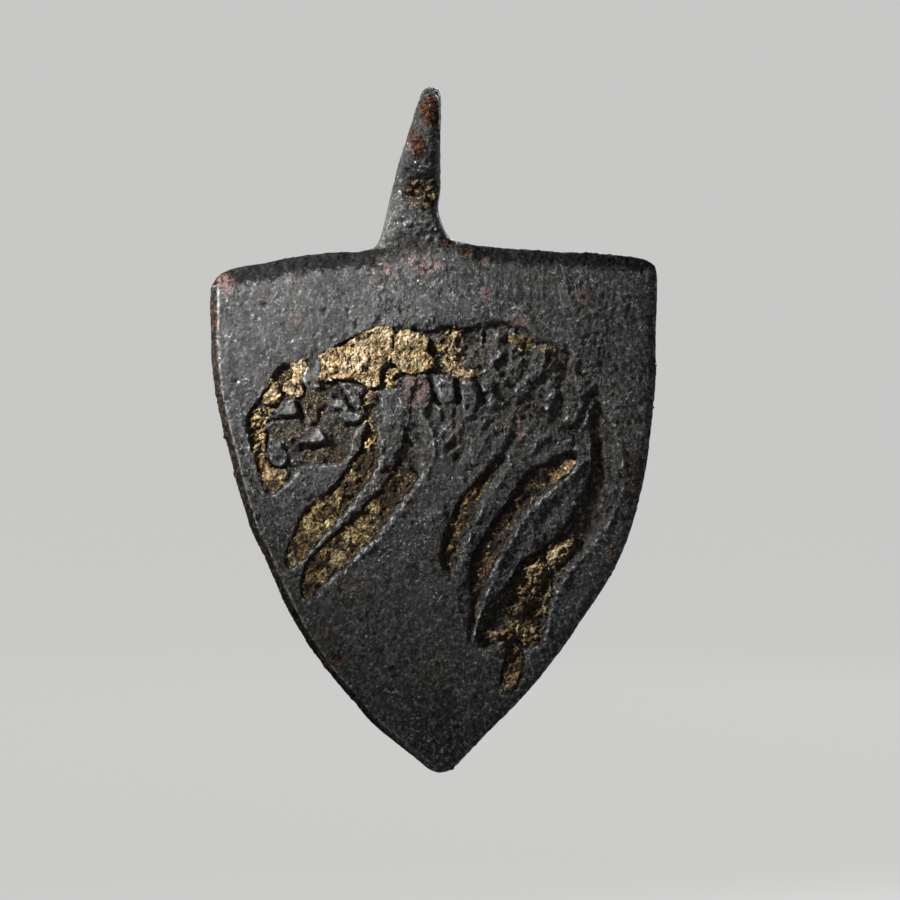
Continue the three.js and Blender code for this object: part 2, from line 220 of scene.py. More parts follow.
# Metal left standing in the cells: depth below the front in millimetres, how much deeper it gets for each
# millimetre to the right and for each upwards, and outline.
ISLANDS = {
    "head_floor": (0.3, 0.0, 0.0, [
        (272, 406), (284, 398), (300, 390), (322, 388), (350, 396), (362, 414), (352, 440), (345, 461),
        (310, 465), (290, 464), (288, 450), (272, 438), (267, 424),
    ]),
    "forehead_wall": (0.1, 0.0, 0.02, [
        (308, 360), (322, 354), (322, 372), (321, 387), (311, 390), (308, 376),
    ]),
    "mane_slope": (0.26, 0.0, 0.12, [
        (322, 379), (336, 381), (352, 383), (366, 390), (360, 396), (350, 395), (344, 391), (332, 388),
        (322, 388),
    ]),
    "mane_ledge": (0.13, 0.0, -0.4, [
        (396, 323), (412, 325), (430, 322), (455, 319), (478, 317), (481, 326), (462, 328), (446, 326),
        (430, 332), (414, 329), (398, 333),
    ]),
    "brow": (0.05, -0.14, 0.11, [
        (273, 412), (278, 407), (281, 401), (292, 400), (297, 406), (296, 414), (289, 416), (280, 415),
    ]),
    "muzzle": (0.14, -0.06, 0.04, [
        (268, 439), (276, 439), (283, 447), (287, 456), (286, 465), (276, 467), (269, 457),
    ]),
    "bridge": (0.25, -0.05, 0.08, [(286, 422), (294, 420), (302, 422), (303, 428), (296, 431), (287, 430)]),
    "lip": (0.14, -0.1, 0.12, [(285, 432), (293, 431), (300, 433), (299, 438), (290, 438)]),
    "temple": (0.2, -0.04, 0.06, [
        (306, 391), (316, 389), (328, 390), (333, 398), (326, 404), (321, 412), (316, 422), (308, 424),
        (304, 408),
    ]),
    "cheek_bone": (0.06, -0.12, 0.1, [
        (326, 404), (334, 399), (344, 401), (349, 409), (344, 411), (336, 408),
    ]),
    "cheek_lobe": (0.05, -0.12, 0.08, [
        (342, 411), (352, 411), (362, 415), (362, 420), (355, 424), (346, 422), (341, 416),
    ]),
    "cheek": (0.3, -0.04, 0.04, [
        (318, 410), (326, 409), (334, 414), (341, 418), (347, 425), (346, 436), (336, 442), (327, 436),
        (320, 424),
    ]),
    "tail_floor": (0.3, -0.3, 0.0, [
        (601, 414), (610, 428), (617, 448), (620, 468), (618, 490), (611, 506), (602, 519), (597, 510),
        (603, 490), (605, 468), (603, 448), (599, 430),
    ]),
    "lower_jaw": (0.04, -0.15, 0.1, [
        (306, 427), (315, 427), (321, 430), (326, 439), (320, 443), (310, 444), (299, 443), (302, 435),
    ]),
    "ear": (0.14, -0.1, 0.04, [(349, 390), (358, 394), (362, 403), (358, 409), (351, 403)]),
    "neck": (0.24, -0.12, 0.0, [
        (364, 396), (376, 390), (385, 398), (383, 416), (379, 434), (372, 430), (367, 414),
    ]),
    "shoulder_blade": (0.05, 0.06, 0.03, [
        (382, 393), (390, 389), (398, 388), (401, 400), (400, 414), (396, 424), (388, 422), (382, 412),
        (380, 402),
    ]),
    "elbow": (0.1, 0.06, 0.0, [(378, 426), (388, 424), (397, 428), (392, 441), (385, 455), (379, 449)]),
    "first_rib": (-0.01, -0.03, 0.0, [
        (439, 381), (447, 380), (455, 382), (455, 399), (449, 403), (440, 400),
    ]),
    "second_rib": (-0.01, -0.03, 0.0, [
        (461, 382), (468, 381), (476, 384), (477, 400), (474, 414), (466, 417), (462, 404),
    ]),
}
# Grooves: depth and half-width in millimetres, and the line they follow.
GROOVES = {
    "eye": (0.3, 0.12, [(268, 421), (280, 419), (292, 417), (303, 417)]),
    "nostril": (0.3, 0.14, [(298, 403), (301, 411), (302, 420)]),
    "mouth": (0.34, 0.16, [(302, 449), (312, 449), (322, 446)]),
    "cheek_crease": (0.34, 0.1, [(342, 391), (346, 396), (350, 404), (354, 410)]),
    "throat": (0.4, 0.12, [(348, 425), (356, 425), (363, 421), (366, 415)]),
    "pupil": (0.25, 0.12, [(332, 411), (340, 412)]),
    "first_rib_groove": (0.45, 0.15, [(431, 380), (434, 390), (435, 398), (440, 404)]),
    "second_rib_groove": (0.45, 0.13, [(458, 380), (458, 392), (458, 402)]),
    "third_rib_groove": (0.3, 0.14, [(479, 384), (481, 394), (485, 402)]),
    "long_groove": (0.12, 0.12, [(455, 408), (456, 425), (455, 445), (457, 462)]),
    "loin_pit": (0.4, 0.3, [(496, 390), (504, 398), (510, 404)]),
    "first_back_groove": (0.3, 0.2, [(484, 333), (484, 348), (487, 366)]),
    "second_back_groove": (0.22, 0.2, [(509, 338), (508, 354), (505, 372)]),
    "third_back_groove": (0.2, 0.16, [(531, 354), (527, 366), (521, 380)]),
    "fourth_back_groove": (0.28, 0.2, [(569, 354), (566, 370), (560, 388)]),
    "top_shadow": (0.2, 0.26, [(480, 329), (492, 326), (505, 327), (517, 331), (528, 335)]),
    "rump_shadow": (0.26, 0.16, [(536, 343), (547, 344), (558, 348)]),
    "flank": (0.25, 0.25, [(520, 402), (540, 412), (556, 420), (572, 432)]),
    "loin": (0.3, 0.25, [(566, 428), (578, 436), (586, 444)]),
    "leaf_hollow": (0.14, 0.3, [(560, 502), (550, 514), (540, 526)]),
    "second_leaf_hollow": (0.12, 0.25, [(528, 534), (516, 552), (505, 566)]),
}
# Raised ridges beside the cells: height and half-width in millimetres, and the line they follow.
RIDGES = {
    "left_foreleg_ridge": (0.08, 0.15, [
        (386, 462), (378, 476), (370, 488), (354, 508), (338, 528), (320, 547),
    ]),
    "right_foreleg_ridge": (0.1, 0.16, [
        (422, 408), (431, 424), (434, 440), (434, 456), (429, 472), (412, 496), (396, 519), (380, 540),
        (362, 556), (346, 573),
    ]),
    "left_hind_ridge": (0.12, 0.17, [
        (513, 464), (500, 484), (486, 506), (474, 530), (466, 549), (462, 570),
    ]),
    "right_hind_ridge": (0.15, 0.2, [
        (584, 462), (567, 481), (549, 496), (537, 507), (524, 522), (512, 541), (497, 568), (489, 592),
        (482, 614), (474, 634),
    ]),
    "leaf_ridge": (0.12, 0.16, [(551, 500), (543, 510), (532, 526), (521, 546), (511, 562)]),
    "leaf_knoll": (0.1, 0.3, [(486, 470), (478, 482), (470, 494)]),
    "tail_ridge": (0.13, 0.2, [
        (608, 402), (616, 424), (621, 446), (625, 466), (624, 492), (609, 526), (590, 552), (575, 569),
        (561, 588), (553, 610), (548, 634),
    ]),
    "back_ridge": (0.16, 0.22, [(578, 362), (576, 374), (572, 386)]),
    "saddle_ridge": (0.1, 0.2, [(500, 338), (499, 354), (501, 370)]),
    "flaw": (0.07, 0.1, [(500, 323), (511, 319), (519, 309), (534, 305), (547, 299), (556, 288)]),
}

# The old fill: its most thickness and the least depth of its top in millimetres, how pale and how broken it
# is, and outline.
FILLS = {
    "forehead": (0.5, 0.13, 0.6, 0.25, [
        (290, 362), (298, 360), (306, 360), (308, 369), (306, 381), (304, 391), (300, 396), (292, 398),
        (284, 394), (282, 386), (289, 379), (293, 374), (290, 368),
    ]),
    "brow": (0.4, 0.14, 0.56, 0.2, [
        (269, 380), (277, 380), (281, 389), (281, 399), (275, 403), (265, 405), (261, 399), (264, 390),
    ]),
    "muzzle": (0.34, 0.18, 0.33, 0.6, [
        (251, 412), (258, 408), (268, 407), (274, 411), (270, 418), (264, 425), (266, 436), (267, 446),
        (266, 456), (270, 467), (258, 469), (252, 455), (249, 440), (247, 425),
    ]),
    "chin": (0.34, 0.2, 0.26, 0.3, [
        (256, 468), (268, 467), (280, 469), (287, 471), (287, 484), (282, 492), (270, 496), (262, 487),
        (258, 478),
    ]),
    "mane": (0.75, 0.11, 0.64, 0.03, [
        (319, 353), (330, 349), (345, 343), (356, 336), (368, 329), (380, 325), (390, 326), (394, 332),
        (394, 344), (392, 354), (388, 362), (381, 369), (380, 379), (377, 387), (369, 388), (361, 383),
        (352, 380), (336, 380), (320, 380), (318, 368),
    ]),
    "shoulder": (0.75, 0.12, 0.64, 0.14, [
        (393, 335), (402, 331), (411, 330), (420, 334), (428, 339), (427, 348), (429, 354), (434, 357),
        (433, 364), (428, 370), (420, 372), (410, 374), (402, 370), (395, 364), (391, 355), (393, 345),
    ]),
    "back": (0.2, 0.16, 0.26, 0.75, [
        (430, 340), (440, 337), (447, 330), (454, 327), (463, 330), (464, 342), (465, 354), (464, 364),
        (472, 367), (481, 371), (480, 378), (460, 379), (448, 375), (440, 370), (434, 362), (430, 352),
    ]),
    "rump": (0.1, 0.05, 0.3, 0.8, [
        (508, 336), (524, 333), (540, 341), (560, 347), (557, 356), (536, 354), (516, 349),
    ]),
    "chest": (0.26, 0.13, 0.34, 0.85, [
        (384, 375), (390, 366), (400, 367), (402, 376), (395, 386), (386, 393), (377, 399), (372, 408),
        (374, 424), (378, 440), (375, 453), (364, 457), (359, 449), (361, 436), (360, 424), (359, 410),
        (354, 401), (359, 393), (369, 391), (380, 386),
    ]),
    "left_foreleg": (0.42, 0.2, 0.0, 0.3, [
        (350, 456), (364, 452), (384, 456), (381, 470), (373, 483), (359, 501), (344, 519), (330, 536),
        (315, 552), (301, 568), (290, 575), (279, 564), (286, 542), (295, 520), (310, 502), (326, 488),
        (341, 474),
    ]),
    "right_foreleg": (0.4, 0.23, 0.02, 0.35, [
        (386, 478), (396, 466), (412, 468), (418, 480), (410, 495), (398, 513), (383, 533), (366, 551),
        (350, 568), (332, 581), (318, 597), (306, 605), (298, 590), (303, 566), (319, 545), (341, 524),
        (366, 500),
    ]),
    "left_hind_leg": (0.2, 0.2, 0.24, 0.4, [
        (492, 463), (502, 462), (494, 484), (483, 504), (474, 526), (466, 548), (460, 568), (450, 578),
        (440, 566), (442, 540), (454, 508), (470, 486),
    ]),
    "right_hind_leg": (0.2, 0.22, 0.18, 0.45, [
        (540, 466), (560, 458), (570, 464), (558, 484), (536, 502), (520, 526), (502, 552), (490, 580),
        (482, 604), (472, 630), (466, 610), (467, 582), (474, 554), (494, 522), (512, 494), (524, 478),
    ]),
    "thigh": (0.3, 0.08, 0.6, 0.5, [
        (553, 472), (561, 462), (572, 457), (576, 465), (567, 474), (558, 479),
    ]),
    "tail": (0.36, 0.12, 0.32, 0.85, [
        (545, 548), (556, 540), (572, 536), (584, 541), (578, 554), (567, 568), (559, 582), (552, 598),
        (548, 614), (536, 618), (518, 619), (502, 614), (496, 604), (506, 590), (520, 568), (532, 557),
    ]),
    "heel": (0.36, 0.13, 0.32, 0.7, [
        (486, 634), (494, 628), (504, 629), (512, 622), (522, 618), (532, 621), (541, 629), (542, 640),
        (534, 649), (524, 648), (517, 640), (508, 642), (502, 638), (495, 644), (487, 642),
    ]),
    "tail_tip": (0.5, 0.06, 0.36, 0.3, [
        (505, 650), (519, 649), (524, 660), (521, 674), (517, 686), (511, 694), (503, 690), (502, 674),
        (505, 662),
    ]),
}
# Pale spots in the fill: centre, half-width and half-height in pixels, and how much paler it is there.
PALE_SPOTS = [
    (322, 514, 24, 22, 0.52), (336, 500, 12, 10, 0.4), (308, 538, 20, 20, 0.36), (296, 558, 12, 12, 0.34),
    (328, 524, 8, 8, 0.6), (373, 508, 6, 6, 0.95), (361, 530, 20, 18, 0.46), (347, 536, 6, 7, 0.8),
    (334, 557, 14, 9, 0.85), (340, 548, 22, 18, 0.34), (314, 576, 14, 20, 0.28), (310, 574, 5, 7, 0.6),
    (366, 544, 8, 6, 0.5), (351, 476, 6, 5, 0.4), (442, 349, 4, 4, 0.5), (455, 352, 8, 8, 0.36),
    (447, 363, 5, 5, 0.36), (455, 333, 7, 6, 0.34), (463, 373, 17, 4, 0.26), (437, 371, 4, 4, 0.4),
    (558, 554, 11, 10, 0.7), (567, 546, 8, 6, 0.5), (536, 572, 11, 8, 0.5), (528, 593, 10, 8, 0.12),
    (531, 636, 8, 8, 0.4), (519, 629, 8, 5, 0.3), (495, 636, 5, 4, 0.5), (272, 475, 14, 6, 0.5),
    (258, 417, 6, 6, 0.34), (269, 410, 5, 4, 0.4), (260, 457, 7, 9, 0.3), (257, 440, 8, 8, 0.1),
    (511, 684, 8, 8, 0.2), (524, 342, 12, 6, 0.1), (548, 349, 8, 4, 0.14), (299, 371, 6, 12, 0.24),
    (295, 395, 6, 5, 0.2), (272, 396, 6, 6, 0.2), (452, 528, 8, 18, 0.1), (387, 382, 5, 8, 0.44),
    (395, 372, 5, 4, 0.4), (370, 442, 5, 8, 0.46), (366, 424, 5, 5, 0.34), (359, 403, 4, 6, 0.2),
    (383, 341, 10, 14, 0.12), (370, 384, 10, 5, 0.16), (332, 366, 12, 10, 0.1), (412, 340, 10, 6, 0.14),
    (420, 364, 8, 6, 0.12),
]
# Greener places in the fill: centre, half-width and half-height in pixels, and strength.
OLIVE_PATCHES = [
    (318, 520, 30, 34, 1.0), (355, 532, 20, 22, 0.9), (368, 380, 12, 10, 0.5), (440, 350, 12, 14, 0.8),
    (400, 345, 8, 16, 0.4), (420, 364, 10, 8, 0.5), (388, 378, 12, 12, 0.7), (368, 432, 10, 24, 0.7),
    (512, 662, 8, 12, 0.6), (258, 440, 8, 12, 0.5), (524, 342, 30, 10, 0.8), (455, 510, 20, 30, 0.8),
    (355, 455, 12, 10, 0.3),
]
# Pink and rusty patches: centre, half-width and half-height in pixels, and strength.
PINK_PATCHES = [
    (409, 129, 6, 13, 0.8), (416, 144, 7, 13, 0.7), (388, 268, 9, 6, 0.5), (414, 258, 9, 10, 0.4),
    (424, 266, 9, 12, 0.45), (436, 262, 6, 8, 0.4), (224, 282, 9, 8, 0.8), (486, 262, 5, 6, 0.5),
    (485, 294, 6, 7, 0.55), (520, 320, 13, 9, 0.5), (583, 297, 10, 9, 0.5), (416, 388, 10, 14, 1.1),
    (519, 432, 4, 18, 0.6), (410, 494, 8, 5, 0.65), (305, 505, 6, 4, 0.4), (296, 318, 9, 5, 0.35),
    (262, 300, 14, 6, 0.25), (455, 430, 3, 28, 0.4), (434, 330, 4, 4, 0.35), (360, 590, 26, 10, 0.25),
    (452, 548, 5, 12, 0.4), (383, 432, 5, 12, 0.35),
]
RUST_PATCHES = [
    (432, 110, 10, 15, 1.3), (411, 132, 5, 12, 0.75), (418, 148, 6, 12, 0.95), (438, 132, 4, 4, 0.6),
    (448, 243, 9, 5, 0.8), (468, 252, 6, 4, 0.9), (213, 322, 4, 16, 0.8), (629, 475, 10, 36, 0.34),
    (614, 508, 5, 5, 0.7), (273, 576, 6, 9, 0.9), (336, 660, 6, 5, 0.6), (600, 450, 5, 12, 0.5),
    (386, 470, 4, 8, 0.5),
]
# Rougher places: centre, half-width and half-height in pixels, and strength.
ROUGH_PATCHES = [
    (368, 660, 34, 40, 0.8), (440, 712, 18, 18, 0.7), (610, 320, 36, 60, 0.5), (560, 400, 60, 40, 0.5),
    (440, 430, 26, 40, 0.4), (480, 272, 12, 12, 1.0), (540, 510, 24, 30, 0.5), (505, 300, 26, 12, 0.6),
    (240, 490, 10, 40, 0.6), (410, 225, 16, 24, 0.5),
]
# Smooth bare facets: centre, half-width and half-height in pixels, and strength.
BARE_PATCHES = [
    (313, 436, 12, 7, 1.0), (284, 408, 11, 7, 1.0), (353, 416, 9, 5, 1.0), (338, 404, 8, 4, 1.0),
    (278, 454, 8, 12, 0.9), (315, 372, 6, 13, 0.5), (383, 412, 9, 18, 0.7), (332, 424, 9, 8, 0.3),
    (447, 391, 7, 9, 0.5), (468, 396, 6, 12, 0.5), (320, 476, 22, 12, 0.6),
]
# Soil caught in hollows: centre, half-width and half-height in pixels, and strength.
SOIL_PATCHES = [
    (426, 192, 19, 14, 1.4), (330, 455, 26, 9, 0.8), (314, 406, 12, 16, 0.9), (306, 424, 46, 36, 0.34),
    (372, 415, 8, 30, 0.4), (285, 380, 8, 14, 0.8), (334, 430, 12, 10, 0.5), (290, 436, 12, 8, 0.5),
    (298, 432, 8, 4, 0.7), (352, 436, 6, 8, 0.5), (501, 421, 11, 10, 0.5), (468, 375, 14, 5, 0.8),
    (573, 364, 4, 5, 0.7), (524, 342, 12, 7, 0.5), (599, 448, 6, 12, 0.6), (612, 550, 4, 5, 0.8),
    (505, 652, 6, 10, 0.3), (533, 610, 12, 10, 0.5), (420, 690, 40, 40, 0.15), (330, 380, 18, 6, 0.5),
    (370, 470, 16, 20, 0.35), (467, 252, 7, 3, 0.6),
]


def hashed(lattice, seed):
    """Steady numbers from 0 to 1 for whole-number lattice points."""
    mask = 0xFFFFFFFF
    code = (lattice[..., 0] * 374761393 + lattice[..., 1] * 668265263 + lattice[..., 2] * 1442695041) & mask
    code = (code + seed * 974634777) & mask
    code = ((code ^ (code >> 13)) * 1274126177) & mask
    code = ((code ^ (code >> 15)) * 2246822519) & mask
    return (code ^ (code >> 16)) / mask


def noise(points, size, seed):
    """Smooth gradient noise of about -1 to 1, with features of a size or of three sizes."""
    spots = points / np.asarray(size, float)
    corner = np.floor(spots).astype(np.int64)
    inner = spots - corner
    ease = inner**3 * (inner * (inner * 6 - 15) + 10)
    total = 0.0
    for number in range(8):
        offset = np.array([number >> 2 & 1, number >> 1 & 1, number & 1])
        slopes = [hashed(corner + offset, seed * 3 + axis) * 2 - 1 for axis in range(3)]
        away = inner - offset
        value = sum(slope * away[..., axis] for axis, slope in enumerate(slopes))
        weight = np.prod(np.where(offset, ease, 1 - ease), axis=-1)
        total = total + value * weight
    return total * 1.6


def grains(points, size, seed):
    """Distance in sizes to the nearest of scattered grain centres, and that grain's number from 0 to 1."""
    spots = points / size
    corner = np.floor(spots).astype(np.int64)
    nearest = np.full(len(points), 9.0)
    own = np.zeros(len(points))
    for number in range(27):
        cell = corner + np.array([number // 9 - 1, number // 3 % 3 - 1, number % 3 - 1])
        centre = cell + np.stack([hashed(cell, seed + axis) for axis in range(3)], -1)
        far = ((spots - centre) ** 2).sum(-1)
        closer = far < nearest
        own = np.where(closer, hashed(cell, seed + 7), own)
        nearest = np.where(closer, far, nearest)
    return np.sqrt(nearest), own


def flat_grid(x, z):
    """Points (x, 0, z) at the nodes of the grid of x by z."""
    flat = np.zeros((len(x), len(z), 3))
    flat[..., 0], flat[..., 2] = x[:, None], z[None, :]
    return flat


def smooth_line(points, closed=True, steps=4):
    """A curve through points, with a few steps from each to the next."""
    line = np.asarray(points, float)
    if closed:
        before, after, beyond = (np.roll(line, turn, axis=0) for turn in (1, -1, -2))
    else:
        padded = np.concatenate([line[:1], line, line[-1:]])
        before, after, beyond = padded[:-3], padded[2:-1], padded[3:]
        line = line[:-1]
    t = (np.arange(steps) / steps)[:, None, None]
    curve = line * 2 + (after - before) * t
    curve = curve + (before * 2 - line * 5 + after * 4 - beyond) * t**2
    curve = (curve + (line * 3 - before - after * 3 + beyond) * t**3) / 2
    curve = curve.transpose(1, 0, 2).reshape(-1, 2)
    return curve if closed else np.concatenate([curve, after[-1:]])


def distance(line, x, z, reach, closed=True):
    """Distance in millimetres, up to reach, from a line to the nodes of the grid of x by z. It is negative
    inside a closed line."""
    found = np.full((len(x), len(z)), float(reach))
    low, high = line.min(0) - reach, line.max(0) + reach
    i0, i1 = np.searchsorted(x, [low[0], high[0]])
    k0, k1 = np.searchsorted(z, [low[1], high[1]])
    across, up = x[i0:i1, None], z[None, k0:k1]
    nearest = np.full((i1 - i0, k1 - k0), float(reach * reach))
    inside = np.zeros(nearest.shape, bool)
    ends = np.roll(line, -1, axis=0) if closed else line[1:]
    for (ax, az), (bx, bz) in zip(line, ends):
        dx, dz = bx - ax, bz - az
        length = dx * dx + dz * dz
        if length == 0:
            continue
        along = np.clip(((across - ax) * dx + (up - az) * dz) / length, 0, 1)
        nearest = np.minimum(nearest, (across - ax - along * dx) ** 2 + (up - az - along * dz) ** 2)
        if closed and dz:
            inside ^= ((az > up) != (bz > up)) & (across < ax + (up - az) * dx / dz)
    found[i0:i1, k0:k1] = np.sqrt(nearest) * np.where(inside, -1, 1)
    return found


def traced(outline, x, z, reach=LINE_REACH, closed=True):
    """Distance from a smooth line through pixels of the photograph."""
    return distance(smooth_line(place(outline), closed), x, z, reach, closed)


def eased(share):
    """A smooth step from 0 to 1."""
    share = np.clip(share, 0, 1)
    return share * share * (3 - 2 * share)


def filled(distances, wall):
    """1 well inside a line and 0 well outside it, with a smooth step as wide as the wall."""
    return eased(0.5 - distances / wall)


def smooth_max(a, b, blend):
    """The larger of two fields, rounded where they come close to each other."""
    gap = np.maximum(blend - np.abs(a - b), 0) / blend
    return np.maximum(a, b) + gap * gap * blend / 4


def smooth_min(a, b, blend):
    return -smooth_max(-a, -b, blend)


def blurred(field, sigma):
    """A field of two axes, softened by a number of grid steps."""
    reach = int(math.ceil(sigma * 3))
    weights = np.exp(-(np.arange(-reach, reach + 1) ** 2) / (2 * sigma * sigma))
    weights /= weights.sum()
    for axis in (0, 1):
        pad = [(reach, reach) if axis == other else (0, 0) for other in (0, 1)]
        padded = np.pad(field, pad, mode="edge")
        length = field.shape[axis]
        field = sum(w * np.take(padded, range(n, n + length), axis) for n, w in enumerate(weights))
    return field


def part_of_axis(axis, part):
    """An index that takes a part of one of three axes and all of the others."""
    return tuple(part if other == axis else slice(None) for other in range(3))


def capped(field):
    """The field with its outermost nodes outside the body, so that the surface closes."""
    for axis in range(3):
        field[part_of_axis(axis, [0, -1])] = 1
    return field


def surface(field, low, pitch):
    """The surface where a field is zero: points, and four-sided faces that look out of its negative side."""
    inside = field < 0
    cells_along = np.array(field.shape) - 1
    unit = np.eye(3, dtype=np.int64)
    codes, spots, faces = [], [], []
    for axis in range(3):
        lower, upper = part_of_axis(axis, slice(0, -1)), part_of_axis(axis, slice(1, None))
        at = np.argwhere(inside[lower] != inside[upper])
        here = field[tuple(at.T)].astype(float)
        there = field[tuple((at + unit[axis]).T)].astype(float)
        crossing = at + unit[axis] * (here / (here - there))[:, None]
        u, v = unit[(axis + 1) % 3], unit[(axis + 2) % 3]
        around = np.stack([at, at - u, at - u - v, at - v], axis=1)
        code = (around[..., 0] * cells_along[1] + around[..., 1]) * cells_along[2] + around[..., 2]
        codes.append(code.ravel())
        spots.append(np.repeat(crossing, 4, axis=0))
        faces.append(np.where((here < 0)[:, None], code, code[:, ::-1]))
    codes, spots, faces = np.concatenate(codes), np.concatenate(spots), np.concatenate(faces)
    cells, number = np.unique(codes, return_inverse=True)
    number = number.ravel()
    count = np.bincount(number)
    points = np.stack([np.bincount(number, spots[:, axis]) / count for axis in range(3)], -1)
    return low + points * pitch, np.searchsorted(cells, faces)


def normals_of(points, faces):
    """Unit normals at the points of a mesh with four-sided faces."""
    a, b, c, d = (points[faces[:, corner]] for corner in range(4))
    turned = np.cross(c - a, d - b)
    total = np.zeros_like(points)
    for axis in range(3):
        for corner in range(4):
            total[:, axis] += np.bincount(faces[:, corner], turned[:, axis], len(points))
    return total / np.maximum(np.linalg.norm(total, axis=1, keepdims=True), 1e-12)


def patches(points, table):
    """How strongly the round patches of a table cover each point."""
    columns, rows = pixels(points[:, 0], points[:, 2])
    cover = np.zeros(len(points))
    for column, row, half_width, half_height, strength in table:
        away = ((columns - column) / half_width) ** 2 + ((rows - row) / half_height) ** 2
        cover = np.maximum(cover, strength * np.exp(-0.7 * away**1.5))
    return cover


def new_object(name, data):
    """A new object in the scene."""
    made = bpy.data.objects.new(name, data)
    bpy.context.scene.collection.objects.link(made)
    return made


def smooth_mesh(name, points, faces, material):
    """A smooth mesh of one material, with its points in metres."""
    mesh = bpy.data.meshes.new(name)
    mesh.from_pydata(points, [], faces)
    mesh.shade_smooth()
    mesh.materials.append(material)
    return mesh


def piece_of(name, points, faces, attributes, material, slot, *nodes):
    """A piece with named numbers at its points, which rides on the root and replaces CAD nodes."""
    mesh = smooth_mesh(name, (points * MM).tolist(), faces.tolist(), material)
    for label, values in attributes.items():
        layer = mesh.attributes.new(label, "FLOAT", "POINT")
        layer.data.foreach_set("value", np.asarray(values, np.float32))
    piece = new_object(name, mesh)
    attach(piece, "root")
    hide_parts(*nodes)


